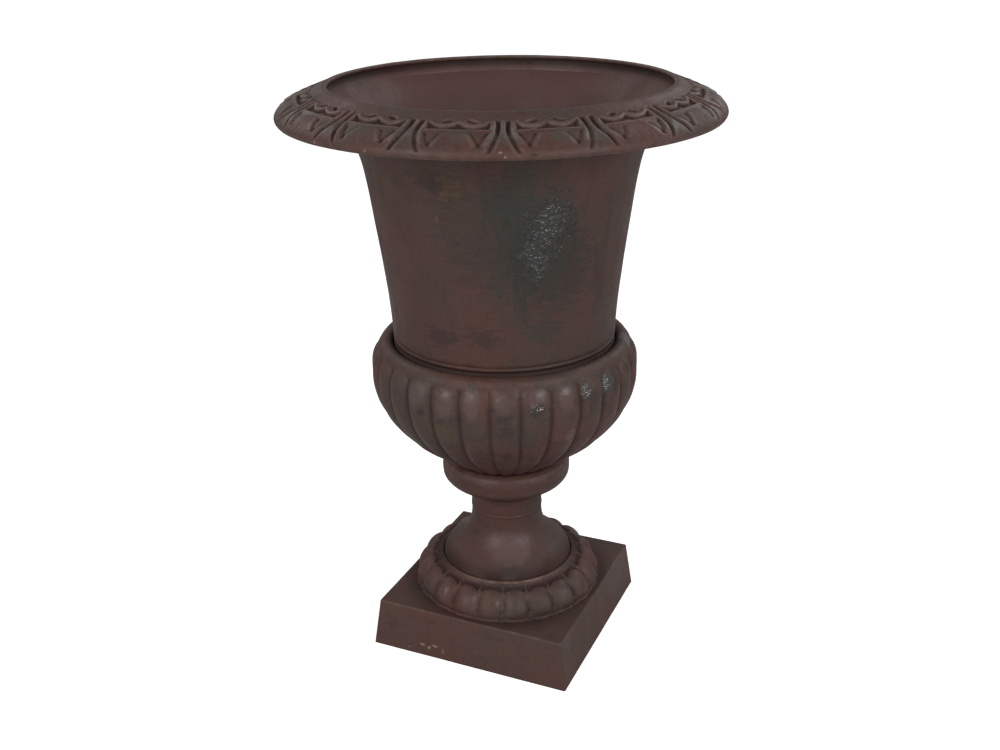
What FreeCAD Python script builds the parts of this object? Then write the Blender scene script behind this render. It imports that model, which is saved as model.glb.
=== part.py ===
import FreeCAD, Part
import math
import os

import Sketcher
from FreeCAD import Placement, Rotation, Vector

# Cast-iron campana urn on a square plinth, in millimetres.
# The origin is the centre of the plinth's underside, +Z is up, and the plinth's sides lie along X and Y.
# Each casting is drawn with its own seat at height 0 and then lifted onto the casting below it.

# Driving sizes

SIZES = {
    # Square plinth: a hollow box with sloping sides
    "plinth_base_width": 232.6,
    "plinth_top_width": 219.3,
    "plinth_height": 55.0,
    "plinth_wall": 6.5,
    "plinth_edge_round": 1.6,
    "plinth_boss_radius": 25.0,
    "plinth_boss_drop": 6.0,
    "plinth_hole_radius": 15.0,
    "plinth_hole_circle": 43.0,
    "plinth_hole_count": 4,
    # Lobed ring that carries the bell foot
    "ring_seat_height": 23.0,
    "ring_lip_height": 34.0,
    "ring_lip_width": 2.6,
    "ring_width": 31.6,
    "ring_flange_width": 1.5,
    "ring_flange_height": 2.6,
    "ring_lobe_depth": 4.6,
    "ring_lobe_count": 21,
    "ring_lobe_turn": 2.9,
    "ring_wall": 7.0,
    # Bell foot: the lower neck and the bell
    "bell_height": 72.0,
    "bell_flare": 33.1,
    "bell_wall": 7.0,
    "bell_seat_width": 11.0,
    "neck_radius": 39.8,
    "neck_wall": 9.8,
    "neck_bead": 0.7,
    "neck_bead_height": 1.4,
    "neck_spigot_wall": 4.6,
    "neck_spigot_height": 4.0,
    # Collar: the upper neck and the round cushion
    "knop_height": 63.0,
    "knop_bulge": 12.5,
    "knop_shoulder": 3.0,
    "knop_spigot_radius": 42.0,
    "knop_spigot_height": 3.0,
    # Lobed bowl
    "bowl_height": 141.6,
    "bowl_seat_radius": 58.0,
    "bowl_bulge": 19.2,
    "bowl_wall": 6.5,
    "bowl_floor": 9.0,
    "bowl_lobe_depth": 4.6,
    "bowl_lobe_count": 28,
    "bowl_lobe_turn": 4.6,
    "bowl_shoulder_land": 1.4,
    "bowl_recess_depth": 8.6,
    "bowl_opening_radius": 92.0,
    "bowl_drain_radius": 5.0,
    "bowl_drain_circle": 24.5,
    "bowl_drain_count": 3,
    # Campana body
    "body_height": 258.0,
    "body_edge_radius": 118.2,
    "body_edge_height": 12.7,
    "body_foot_inset": 3.2,
    "body_groove_width": 5.6,
    "body_wall": 5.7,
    "body_foot_thickness": 6.0,
    "body_register_wall": 5.0,
    "body_register_drop": 3.0,
    "flange_width": 22.3,
    "flange_thickness": 6.0,
    "flange_cove": 3.0,
    # Rim ring with its leaf-and-dart border
    "mouth_radius": 169.7,
    "rim_height": 16.0,
    "rim_drop": 16.6,
    "rim_width": 52.9,
    "rim_lip_width": 5.7,
    "rim_lip_step": 0.8,
    "rim_wall": 6.0,
    "leaf_count": 16,
    "leaf_turn": 1.7,
    "groove_depth": 2.4,
    "pocket_depth": 2.2,
    "panel_depth": 1.1,
    # Tie rod, its nuts and washers
    "rod_radius": 6.0,
    "rod_overhang": 7.0,
    "rod_bevel": 1.0,
    "nut_width": 18.0,
    "nut_height": 10.8,
    "lock_nut_height": 7.0,
    "washer_radius": 18.5,
    "washer_thickness": 3.0,
    # Screws and washers that hold the rim ring on the body, and the body in the bowl
    "screw_radius": 3.0,
    "screw_head_width": 10.0,
    "screw_head_height": 4.0,
    "screw_washer_radius": 6.0,
    "screw_washer_thickness": 1.6,
    "rim_screw_inset": 10.8,
    "rim_screw_reach": 8.4,
    "rim_screw_count": 8,
    "seat_screw_inset": 9.5,
    "seat_screw_reach": 6.4,
    "seat_screw_count": 6,
    # Clearances
    "hole_clearance": 1.0,
    "fit_clearance": 0.3,
    "thread_clearance": 0.1,
    "tap_runout": 1.0,
    "overrun": 2.0,
}

doc = FreeCAD.newDocument("campana_urn")
sheet = doc.addObject("Spreadsheet::Sheet", "Sizes")
for row, (alias, value) in enumerate(SIZES.items(), start=1):
    sheet.set("A%d" % row, alias)
    sheet.set("B%d" % row, str(value))
    sheet.setAlias("B%d" % row, alias)
doc.recompute()


class Size:
    """A length kept twice: as the sheet's formula, which objects are bound to, and as its value now."""

    def __init__(self, text, value):
        self.text = text
        self.value = value

    def __add__(self, other):
        other = as_size(other)
        return Size("(%s + %s)" % (self.text, other.text), self.value + other.value)

    def __sub__(self, other):
        other = as_size(other)
        return Size("(%s - %s)" % (self.text, other.text), self.value - other.value)

    def __mul__(self, other):
        other = as_size(other)
        return Size("(%s * %s)" % (self.text, other.text), self.value * other.value)

    def __truediv__(self, other):
        other = as_size(other)
        return Size("(%s / %s)" % (self.text, other.text), self.value / other.value)

    def __radd__(self, other):
        return as_size(other) + self

    def __rsub__(self, other):
        return as_size(other) - self

    def __rmul__(self, other):
        return as_size(other) * self

    def __neg__(self):
        return as_size(0) - self


def as_size(number):
    """A plain number as a size; a size stays as it is."""
    if isinstance(number, Size):
        return number
    return Size("(%.9f)" % number, float(number))


def size(alias):
    """The sheet's cell of that alias, as a size."""
    return Size("Sizes." + alias, float(sheet.get(alias)))


def root(length):
    """Square root of a size."""
    return Size("sqrt(%s)" % length.text, math.sqrt(length.value))


def bind(owner, path, length):
    """Ties one property of an object to the sheet."""
    owner.setExpression(path, length.text)


# Shared lengths and heights, worked out from the sheet

mouth = size("mouth_radius")
rod_hole = size("rod_radius") + size("hole_clearance")
neck_bore = size("neck_radius") - size("neck_wall")
neck_spigot = neck_bore + size("neck_spigot_wall")
bell_base = size("neck_radius") + size("bell_flare")
ring_seat = bell_base + size("fit_clearance")
ring_bore = bell_base - size("bell_seat_width")
ring_outer = ring_seat + size("ring_width")
knop_radius = size("bowl_seat_radius") + size("knop_bulge")
bowl_recess = size("body_edge_radius") + size("body_groove_width")
bowl_crown = bowl_recess + size("bowl_bulge")
rim_screw_circle = mouth + size("rim_screw_inset")
seat_screw_circle = size("bowl_opening_radius") + size("seat_screw_inset")

ring_base_z = size("plinth_height")
bell_base_z = ring_base_z + size("ring_seat_height")
knop_base_z = bell_base_z + size("bell_height")
bowl_base_z = knop_base_z + size("knop_height")
body_base_z = bowl_base_z + size("bowl_height") - size("bowl_recess_depth")
rim_base_z = body_base_z + size("body_height")
boss_base_z = size("plinth_height") - size("plinth_wall") - size("plinth_boss_drop")
floor_top_z = bowl_base_z + size("bowl_floor")

# Bend of a quarter circle: the tangent of a quarter of its angle
QUARTER_TURN = math.tan(math.pi / 8)


# Helpers for bodies and their sketches

def new_body(name, height=None):
    """An empty body that stands at a height bound to the sheet."""
    body = doc.addObject("PartDesign::Body", name)
    body.Label = name
    if height is not None:
        bind(body, "Placement.Base.z", height)
    return body


def new_sketch(body, name, plane="XY_Plane", height=None):
    """An empty sketch on one of the body's origin planes, lifted by a height bound to the sheet."""
    sketch = body.newObject("Sketcher::SketchObject", name)
    origin = [item for item in body.Origin.OriginFeatures if item.Role == plane][0]
    sketch.AttachmentSupport = [(origin, "")]
    sketch.MapMode = "FlatFace"
    if height is not None:
        bind(sketch, "AttachmentOffset.Base.z", height)
    return sketch


def dimension(sketch, kind, ends, length):
    """One dimension whose value is bound to the sheet."""
    index = sketch.addConstraint(Sketcher.Constraint(kind, *ends, length.value))
    bind(sketch, "Constraints[%d]" % index, length)


def arc_through(start, end, bulge):
    """Arc between two points; the bulge is the tangent of a quarter of its angle, left turns positive."""
    chord = end - start
    middle = (start + end) * 0.5
    side = Vector(-chord.y, chord.x, 0)
    centre = middle + side * ((1 - bulge * bulge) / (4 * bulge))
    first, last = (start, end) if bulge > 0 else (end, start)
    circle = Part.Circle(centre, Vector(0, 0, 1), (start - centre).Length)
    return Part.ArcOfCircle(circle, circle.parameter(first), circle.parameter(last))


def draw(sketch, corners):
    """Closes an outline of corners (x, y) or (x, y, bulge), where a bulge bends the edge that follows."""
    count = len(corners)
    places = [Vector(as_size(c[0]).value, as_size(c[1]).value, 0) for c in corners]
    ends = []
    for index, corner in enumerate(corners):
        start = places[index]
        end = places[(index + 1) % count]
        bulge = corner[2] if len(corner) > 2 else 0
        if bulge:
            edge = sketch.addGeometry(arc_through(start, end, bulge), False)
            ends.append((edge, 1, 2) if bulge > 0 else (edge, 2, 1))
        else:
            edge = sketch.addGeometry(Part.LineSegment(start, end), False)
            ends.append((edge, 1, 2))
    for index, (edge, first, last) in enumerate(ends):
        following = ends[(index + 1) % count]
        sketch.addConstraint(Sketcher.Constraint("Coincident", edge, last, following[0], following[1]))
        x = as_size(corners[index][0])
        y = as_size(corners[index][1])
        dimension(sketch, "DistanceX", (-1, 1, edge, first), x)
        dimension(sketch, "DistanceY", (-1, 1, edge, first), y)
        if len(corners[index]) > 2:
            bulge = abs(corners[index][2])
            next_corner = corners[(index + 1) % count]
            run = as_size(next_corner[0]) - x
            rise = as_size(next_corner[1]) - y
            chord = root(run * run + rise * rise)
            dimension(sketch, "Radius", (edge,), chord * ((1 + bulge * bulge) / (4 * bulge)))


def with_bend(x, y, bend):
    """A corner for an outline; without a bend the edge after it is straight."""
    return (x, y, bend) if bend else (x, y)


def draw_circle(sketch, radius, x=0, y=0):
    """A circle whose centre and radius are bound to the sheet."""
    centre = Vector(as_size(x).value, as_size(y).value, 0)
    edge = sketch.addGeometry(Part.Circle(centre, Vector(0, 0, 1), radius.value), False)
    dimension(sketch, "DistanceX", (-1, 1, edge, 3), as_size(x))
    dimension(sketch, "DistanceY", (-1, 1, edge, 3), as_size(y))
    dimension(sketch, "Radius", (edge,), radius)


def draw_square(sketch, width, corner):
    """A square about the sketch's origin, with its corners rounded."""
    half = width * 0.5
    inset = half - corner
    draw(sketch, [
        (half, -inset),
        (half, inset, QUARTER_TURN),
        (inset, half),
        (-inset, half, QUARTER_TURN),
        (-half, inset),
        (-half, -inset, QUARTER_TURN),
        (-inset, -half),
        (inset, -half, QUARTER_TURN),
    ])


def draw_hexagon(sketch, width, x=0):
    """A hexagon measured across its flats."""
    reach = width / math.sqrt(3)
    corners = []
    for turn in range(6):
        angle = math.radians(60 * turn)
        corners.append((as_size(x) + reach * math.cos(angle), reach * math.sin(angle)))
    draw(sketch, corners)


def turned(body, name, corners, cut=False):
    """Turns a closed outline (radius, height) about the body's axis, as material or as a cut."""
    sketch = new_sketch(body, name + "_outline", "XZ_Plane")
    draw(sketch, corners)
    kind = "PartDesign::Groove" if cut else "PartDesign::Revolution"
    feature = body.newObject(kind, name)
    feature.Profile = sketch
    feature.ReferenceAxis = (sketch, ["V_Axis"])
    feature.Angle = 360
    return feature


def padded(body, name, sketch, length):
    """Raises a sketch by a length bound to the sheet."""
    feature = body.newObject("PartDesign::Pad", name)
    feature.Profile = sketch
    bind(feature, "Length", length)
    return feature


def bored(body, name, sketch, depth=None):
    """Cuts a sketch upwards: right through, or to a depth bound to the sheet."""
    feature = body.newObject("PartDesign::Pocket", name)
    feature.Profile = sketch
    feature.Reversed = True
    if depth is None:
        feature.Type = "ThroughAll"
    else:
        bind(feature, "Length", depth)
    return feature


def around(body, name, features, count):
    """Repeats features round the body's axis."""
    pattern = body.newObject("PartDesign::PolarPattern", name)
    pattern.Originals = features
    axis = [item for item in body.Origin.OriginFeatures if item.Role == "Z_Axis"][0]
    pattern.Axis = (axis, [""])
    pattern.Angle = 360
    bind(pattern, "Occurrences", count)
    body.Tip = pattern
    return pattern


def bored_around(body, name, radius, circle, count, height=None, depth=None):
    """A circle of equal round holes."""
    sketch = new_sketch(body, name + "_outline", height=height)
    draw_circle(sketch, radius, x=circle)
    hole = bored(body, name, sketch, depth)
    return around(body, name + "_pattern", [hole], count)


def lobed_loft(name, count, turn, levels):
    """Solid with round lobes: every level is a ring of arcs, from valley to valley over a crown."""
    lobes = round(count.value)
    pitch = 2 * math.pi / lobes
    first = math.radians(turn.value - 90)
    rings = []
    for height, crown, depth in levels:
        arcs = []
        for lobe in range(lobes):
            points = []
            for step, reach in ((0, crown - depth), (0.5, crown), (1, crown - depth)):
                angle = first + (lobe + step) * pitch
                points.append(Vector(reach * math.cos(angle), reach * math.sin(angle), height))
            arcs.append(Part.Arc(*points).toShape())
        rings.append(Part.Wire(arcs))
    feature = doc.addObject("Part::Feature", name)
    feature.Shape = Part.makeLoft(rings, True)
    return feature


# Square plinth

def make_plinth():
    """Hollow plinth with sloping sides, a boss for the tie rod and round holes in its top plate."""
    body = new_body("square_plinth")
    base_width = size("plinth_base_width")
    top_width = size("plinth_top_width")
    height = size("plinth_height")
    wall = size("plinth_wall")
    plate_base = height - wall
    corner = size("plinth_edge_round")
    slope = (base_width - top_width) / height
    base = new_sketch(body, "plinth_base")
    draw_square(base, base_width, corner)
    shoulder = new_sketch(body, "plinth_shoulder", height=height - corner)
    draw_square(shoulder, top_width + slope * corner, corner)
    top = new_sketch(body, "plinth_top", height=height)
    draw_square(top, top_width - corner, corner)
    block = body.newObject("PartDesign::AdditiveLoft", "plinth_block")
    block.Profile = base
    block.Sections = [shoulder, top]
    block.Ruled = True
    hollow_base = new_sketch(body, "hollow_base")
    draw_square(hollow_base, base_width - wall * 2, wall)
    hollow_top = new_sketch(body, "hollow_top", height=plate_base)
    draw_square(hollow_top, base_width - wall * 2 - slope * plate_base, wall)
    hollow = body.newObject("PartDesign::SubtractiveLoft", "plinth_hollow")
    hollow.Profile = hollow_base
    hollow.Sections = [hollow_top]
    boss_outline = new_sketch(body, "boss_outline", height=plate_base - size("plinth_boss_drop"))
    draw_circle(boss_outline, size("plinth_boss_radius"))
    padded(body, "plinth_boss", boss_outline, size("plinth_boss_drop"))
    rod_outline = new_sketch(body, "plinth_rod_outline")
    draw_circle(rod_outline, rod_hole)
    bored(body, "plinth_rod_hole", rod_outline)
    bored_around(body, "plinth_holes", size("plinth_hole_radius"), size("plinth_hole_circle"),
                 size("plinth_hole_count"))
    return body


# Lobed ring

# Height as a share of the lip's height, radius as a share of the ring's width, depth as a share of a lobe's
RING_LEVEL_SHARES = (
    (0.000, 0.985, 0.80),
    (0.100, 0.990, 0.90),
    (0.220, 1.000, 1.00),
    (0.400, 0.965, 1.00),
    (0.570, 0.870, 1.00),
    (0.730, 0.700, 1.00),
    (0.860, 0.480, 0.90),
    (0.940, 0.280, 0.60),
)
# Roof of the hollow underneath as a share of the lip's height, and its corner's rounding as a share of the roof
RING_ROOF_SHARE = 0.62
RING_ROUNDING_SHARE = 0.5


def make_ring():
    """Ring of round lobes with a thin lip, a seat for the bell foot and a hollow underside."""
    lip = size("ring_lip_height")
    width = size("ring_width")
    depth = size("ring_lobe_depth")
    levels = []
    for height_share, width_share, depth_share in RING_LEVEL_SHARES:
        reach = ring_seat.value + width_share * width.value
        levels.append((height_share * lip.value, reach, depth_share * depth.value))
    lobes = lobed_loft("ring_lobes", size("ring_lobe_count"), size("ring_lobe_turn"), levels)
    body = new_body("lobed_ring", ring_base_z)
    body.BaseFeature = lobes
    flange = ring_outer + size("ring_flange_width")
    edge = ring_seat + size("ring_lip_width")
    turned(body, "ring_lip", [
        (ring_bore, 0),
        (flange, 0),
        (flange, size("ring_flange_height")),
        (edge, size("ring_flange_height")),
        (edge, lip),
        (ring_bore, lip),
    ])
    turned(body, "ring_seat", [
        (0, size("ring_seat_height")),
        (ring_seat, size("ring_seat_height")),
        (ring_seat, lip + size("overrun")),
        (0, lip + size("overrun")),
    ], cut=True)
    bore_outline = new_sketch(body, "ring_bore_outline")
    draw_circle(bore_outline, ring_bore)
    bored(body, "ring_bore", bore_outline)
    wall = size("ring_wall")
    inner = ring_bore + wall
    outer = ring_outer - depth - wall
    roof = lip * RING_ROOF_SHARE - wall
    rounding = roof * RING_ROUNDING_SHARE
    turned(body, "ring_hollow", [
        (inner, -size("overrun")),
        (outer, -size("overrun")),
        (outer, roof - rounding, QUARTER_TURN),
        (outer - rounding, roof),
        (inner, roof),
    ], cut=True)
    return body


# Bell foot

# Radius as a share of the flare beyond the neck, height as a share of the bell's height, then the bend
BELL_OUTER_SHARES = (
    (1.000, 0.000, 0),
    (1.000, 0.110, 0.23),
    (0.860, 0.300, 0.10),
    (0.430, 0.470, -0.06),
    (0.170, 0.610, -0.14),
    (0.000, 0.790, 0),
)
BELL_INNER_SHARES = (
    (0.000, 0.740, 0.16),
    (0.200, 0.520, 0.04),
    (0.640, 0.300, -0.16),
)


def make_bell():
    """Bell with the lower half of the neck; the collar's spigot drops into its mouth."""
    body = new_body("bell_foot", bell_base_z)
    neck = size("neck_radius")
    flare = size("bell_flare")
    top = size("bell_height")
    wall = size("bell_wall")
    bead = size("neck_bead")
    socket = neck_spigot + size("fit_clearance")
    corners = []
    for width_share, height_share, bend in BELL_OUTER_SHARES:
        corners.append(with_bend(neck + flare * width_share, top * height_share, bend))
    corners += [
        (neck, top - size("neck_bead_height")),
        (neck + bead, top - size("neck_bead_height")),
        (neck + bead, top),
        (socket, top),
        (socket, top - size("neck_spigot_height") - size("fit_clearance")),
        (neck_bore, top - size("neck_spigot_height") - size("fit_clearance")),
    ]
    for width_share, height_share, bend in BELL_INNER_SHARES:
        corners.append((neck_bore + (bell_base - wall - neck_bore) * width_share, top * height_share, bend))
    corners.append((bell_base - wall, wall))
    corners.append((ring_bore, wall))
    corners.append((ring_bore, 0))
    turned(body, "bell_casting", corners)
    return body


# Collar

# Radius as a share of the cushion beyond the neck, height as a share of the collar's height, then the bend
KNOP_OUTER_SHARES = (
    (0.000, 0.270, -0.12),
    (0.340, 0.400, 0),
    (0.920, 0.600, 0.10),
    (1.000, 0.680, 0.08),
    (1.000, 0.870, 0.22),
)


def make_collar():
    """Cushion with the upper half of the neck, a spigot below and a register for the bowl above."""
    body = new_body("knop_collar", knop_base_z)
    neck = size("neck_radius")
    top = size("knop_height")
    corners = [
        (neck_bore, -size("neck_spigot_height")),
        (neck_spigot, -size("neck_spigot_height")),
        (neck_spigot, 0),
        (neck, 0),
    ]
    for width_share, height_share, bend in KNOP_OUTER_SHARES:
        corners.append(with_bend(neck + (knop_radius - neck) * width_share, top * height_share, bend))
    corners += [
        (size("bowl_seat_radius") + size("knop_shoulder"), top),
        (size("knop_spigot_radius"), top),
        (size("knop_spigot_radius"), top + size("knop_spigot_height")),
        (neck_bore, top + size("knop_spigot_height")),
    ]
    turned(body, "collar_casting", corners)
    return body


# Lobed bowl

# Height as a share of the bowl's, radius as a share between seat and crown, depth as a share of a lobe's
BOWL_LEVEL_SHARES = (
    (0.000, 0.000, 0.30),
    (0.030, 0.115, 0.45),
    (0.075, 0.250, 0.60),
    (0.145, 0.415, 0.75),
    (0.235, 0.565, 0.90),
    (0.335, 0.730, 1.00),
    (0.450, 0.860, 1.00),
    (0.585, 0.955, 1.00),
    (0.725, 1.000, 1.00),
    (0.840, 0.990, 1.00),
    (0.905, 0.955, 0.80),
    (0.960, 0.890, 0.15),
    (1.000, 0.830, 0.00),
)
BOWL_HOLLOW_SHARES = ((0.075, 0.250), (0.235, 0.565), (0.450, 0.860), (0.725, 1.000), (0.840, 0.990))


def make_bowl():
    """Gadrooned bowl with a drained floor, a recess for the body's foot and a register for the collar."""
    height = size("bowl_height")
    seat = size("bowl_seat_radius")
    depth = size("bowl_lobe_depth")
    bulge = bowl_crown - seat
    levels = []
    for height_share, width_share, depth_share in BOWL_LEVEL_SHARES:
        reach = seat.value + width_share * bulge.value
        levels.append((height_share * height.value, reach, depth_share * depth.value))
    land = bowl_recess.value + size("bowl_shoulder_land").value
    levels[-1] = (height.value, land, 0)
    lobes = lobed_loft("bowl_lobes", size("bowl_lobe_count"), size("bowl_lobe_turn"), levels)
    body = new_body("lobed_bowl", bowl_base_z)
    body.BaseFeature = lobes
    wall = size("bowl_wall")
    recess_floor = height - size("bowl_recess_depth")
    roof = recess_floor - wall
    floor = size("bowl_floor")
    hollow = [(0, floor), (seat - wall, floor)]
    for height_share, width_share in BOWL_HOLLOW_SHARES:
        rise = height * height_share + floor * (1 - height_share)
        hollow.append((seat + bulge * width_share - depth - wall, rise))
    hollow += [
        (seat + bulge * BOWL_HOLLOW_SHARES[-1][1] - depth - wall, roof),
        (size("bowl_opening_radius"), roof),
        (size("bowl_opening_radius"), recess_floor),
        (bowl_recess, recess_floor),
        (bowl_recess, height + size("overrun")),
        (0, height + size("overrun")),
    ]
    turned(body, "bowl_hollow", hollow, cut=True)
    register_outline = new_sketch(body, "register_outline")
    draw_circle(register_outline, size("knop_spigot_radius") + size("fit_clearance"))
    bored(body, "bowl_register", register_outline, size("knop_spigot_height") + size("fit_clearance"))
    rod_outline = new_sketch(body, "bowl_rod_outline")
    draw_circle(rod_outline, rod_hole)
    bored(body, "bowl_rod_hole", rod_outline)
    bored_around(body, "bowl_drains", size("bowl_drain_radius"), size("bowl_drain_circle"),
                 size("bowl_drain_count"))
    bored_around(body, "tapped_seat_holes", size("screw_radius") + size("thread_clearance"),
                 seat_screw_circle, size("seat_screw_count"),
                 height=roof - size("overrun"), depth=wall + size("overrun") * 2)
    return body


# Campana body

# Radius as a share between the lower edge and the mouth, height as a share of the body's, then the bend
BODY_OUTER_SHARES = (
    (0.012, 0.112, -0.022),
    (0.295, 0.597, -0.035),
    (0.503, 0.810, -0.150),
)
BODY_INNER_SHARES = (
    (0.503, 0.806, 0.035),
    (0.295, 0.597, 0.022),
    (0.012, 0.112, 0),
)
BODY_MOUTH_BEND = 0.10
# Height of the bevel under the lower edge as a share of the foot's inset
BODY_BEVEL_SHARE = 0.5


def make_body():
    """Flaring body, open below, with a foot ring that sits in the bowl and a flange for the rim ring."""
    body = new_body("campana_body", body_base_z)
    edge = size("body_edge_radius")
    height = size("body_height")
    wall = size("body_wall")
    span = mouth - edge
    foot = edge - size("body_foot_inset")
    thickness = size("body_foot_thickness")
    register = size("bowl_opening_radius") - size("fit_clearance")
    bore = register - size("body_register_wall")
    flange_base = height - size("flange_thickness")
    flange_edge = mouth + size("flange_width")
    corners = [
        (bore, -size("body_register_drop")),
        (register, -size("body_register_drop")),
        (register, 0),
        (foot, 0),
        (foot, size("body_edge_height") - size("body_foot_inset") * BODY_BEVEL_SHARE),
        (edge, size("body_edge_height")),
    ]
    for width_share, height_share, bend in BODY_OUTER_SHARES:
        corners.append((edge + span * width_share, height * height_share, bend))
    corners += [
        (mouth + size("flange_cove"), flange_base),
        (flange_edge, flange_base),
        (flange_edge, height),
        (mouth, height, BODY_MOUTH_BEND),
    ]
    for width_share, height_share, bend in BODY_INNER_SHARES:
        corners.append(with_bend(edge + span * width_share - wall, height * height_share, bend))
    corners += [
        (foot - wall, thickness),
        (bore, thickness),
    ]
    turned(body, "body_casting", corners)
    hole = size("screw_radius") + size("fit_clearance")
    bored_around(body, "foot_holes", hole, seat_screw_circle, size("seat_screw_count"),
                 height=-size("overrun"), depth=thickness + size("overrun") * 2)
    bored_around(body, "flange_holes", hole, rim_screw_circle, size("rim_screw_count"),
                 height=flange_base - size("overrun"), depth=size("flange_thickness") + size("overrun") * 2)
    return body


# Rim ring

# Width beyond the lip's foot as a share of the slope's width, fall as a share of its fall, then the bend
RIM_TOP_SHARES = (
    (0.000, 0.000, 0),
    (0.150, 0.127, 0),
    (0.725, 0.455, -0.200),
    (1.000, 0.780, -0.260),
    (0.935, 1.000, 0),
)
# Corner of the slope, how far in and down the hollow lies from it as shares of the wall, then the bend
RIM_HOLLOW_SHARES = (
    (2, 0.50, 1.00, -0.16),
    (3, 1.00, 0.50, 0),
    (4, 0.70, 0.00, 0),
)
# Width beyond the mouth and fall below the top as shares of the lip's width, then the bend
LIP_SHARES = (
    (0.65, 0.00, 0),
    (0.30, 0.00, QUARTER_TURN),
    (0.00, 0.30, 0),
)
# Ornament of one leaf: places across as shares of half its width, and down as shares of the slope's length
DART_SHARES = ((-0.935, 0.20), (-0.955, 0.33), (-0.930, 0.49), (-0.875, 0.65), (-0.800, 0.78), (-0.745, 0.86),
               (-0.685, 0.86), (-0.730, 0.75), (-0.765, 0.65), (-0.825, 0.49), (-0.850, 0.33), (-0.840, 0.20))
WAVE_SHARES = ((-0.70, 0.29), (-0.59, 0.305), (-0.46, 0.347), (-0.39, 0.365), (-0.27, 0.365), (-0.17, 0.338),
               (0.00, 0.26), (0.17, 0.338), (0.27, 0.365), (0.39, 0.365), (0.46, 0.347), (0.59, 0.305),
               (0.70, 0.29), (0.70, 0.405), (-0.70, 0.405))
EYE_SHARES = ((-0.44, 0.235), (-0.45, 0.205), (-0.32, 0.172), (-0.21, 0.166), (-0.18, 0.19), (-0.28, 0.23))
PANEL_SHARES = ((-0.68, 0.52), (-0.50, 0.50), (-0.31, 0.52), (-0.39, 0.64), (-0.47, 0.765), (-0.53, 0.765),
                (-0.62, 0.64))
# The cuts run along a sight line at this angle, from as far out as this share of the rim's width
LEAF_SIGHT_ANGLE = 45
LEAF_SIGHT_SHARE = 6


def rim_slope():
    """Corners (radius, height, bend) of the rim's ornamented top, from the lip's foot to the lower edge."""
    foot = mouth + size("rim_lip_width")
    start = size("rim_height") - size("rim_lip_step")
    across = size("rim_width") - size("rim_lip_width")
    fall = start + size("rim_drop")
    corners = []
    for width_share, fall_share, bend in RIM_TOP_SHARES:
        corners.append(with_bend(foot + across * width_share, start - fall * fall_share, bend))
    return corners


def make_rim_blank():
    """Plain turned rim ring with tapped holes in its seat."""
    body = new_body("rim_blank", rim_base_z)
    lip_width = size("rim_lip_width")
    wall = size("rim_wall")
    slope = rim_slope()
    corners = [(mouth, 0), (mouth + size("flange_width"), 0)]
    for index, inward_share, down_share, bend in RIM_HOLLOW_SHARES:
        x, y = slope[index][:2]
        corners.append(with_bend(x - wall * inward_share, y - wall * down_share, bend))
    upward = slope[::-1]
    bends = [-corner[2] if len(corner) > 2 else 0 for corner in upward[1:]] + [0]
    for corner, bend in zip(upward, bends):
        corners.append(with_bend(corner[0], corner[1], bend))
    top = size("rim_height")
    for width_share, fall_share, bend in LIP_SHARES:
        corners.append(with_bend(mouth + lip_width * width_share, top - lip_width * fall_share, bend))
    turned(body, "rim_casting", corners)
    bored_around(body, "tapped_rim_holes", size("screw_radius") + size("thread_clearance"), rim_screw_circle,
                 size("rim_screw_count"), depth=size("rim_screw_reach") + size("tap_runout"))
    return body


def slope_edges(shift):
    """Edges of the rim's top in the XZ plane, all moved by one vector."""
    corners = [(c[0].value, c[1].value, c[2] if len(c) > 2 else 0) for c in rim_slope()]
    edges = []
    for start, end in zip(corners, corners[1:]):
        first = Vector(start[0], start[1], 0)
        last = Vector(end[0], end[1], 0)
        curve = arc_through(first, last, start[2]) if start[2] else Part.LineSegment(first, last)
        edge = curve.toShape()
        edge.rotate(Vector(0, 0, 0), Vector(1, 0, 0), 90)
        edge.translate(shift)
        edges.append(edge)
    return edges


def slope_band(depth, sight):
    """Solid ring that follows the rim's top, from above it down to a depth below it."""
    above = slope_edges(sight * size("overrun").value)
    below = slope_edges(sight * -depth)
    first_side = Part.LineSegment(below[0].Vertexes[0].Point, above[0].Vertexes[0].Point).toShape()
    tip_above = max(above[-1].Vertexes, key=lambda corner: -corner.Point.z).Point
    tip_below = max(below[-1].Vertexes, key=lambda corner: -corner.Point.z).Point
    last_side = Part.LineSegment(tip_above, tip_below).toShape()
    outline = Part.Wire(Part.__sortEdges__(above + below + [first_side, last_side]))
    return Part.Face(outline).revolve(Vector(0, 0, 0), Vector(0, 0, 1), 360)


def slope_points(shares, mirrored):
    """Places on the rim's top of one leaf, from a table of shares."""
    length_steps = 200
    path = Part.Wire(Part.__sortEdges__(slope_edges(Vector(0, 0, 0))))
    walk = path.discretize(Number=length_steps + 1)
    if walk[0].z < walk[-1].z:
        walk.reverse()
    half = 180 / size("leaf_count").value
    side = -1 if mirrored else 1
    points = []
    for across_share, down_share in shares:
        place = walk[round(down_share * length_steps)]
        turn = Rotation(Vector(0, 0, 1), side * across_share * half)
        points.append(turn.multVec(place))
    return points


def leaf_prism(shares, sight, mirrored=False):
    """Straight prism over one outline of the leaf, seen along the sight line."""
    reach = size("rim_width").value * LEAF_SIGHT_SHARE
    flat = []
    for point in slope_points(shares, mirrored):
        flat.append(point + sight * (reach - point.dot(sight)))
    face = Part.Face(Part.makePolygon(flat + [flat[0]]))
    return face.extrude(sight * -reach)


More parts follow.
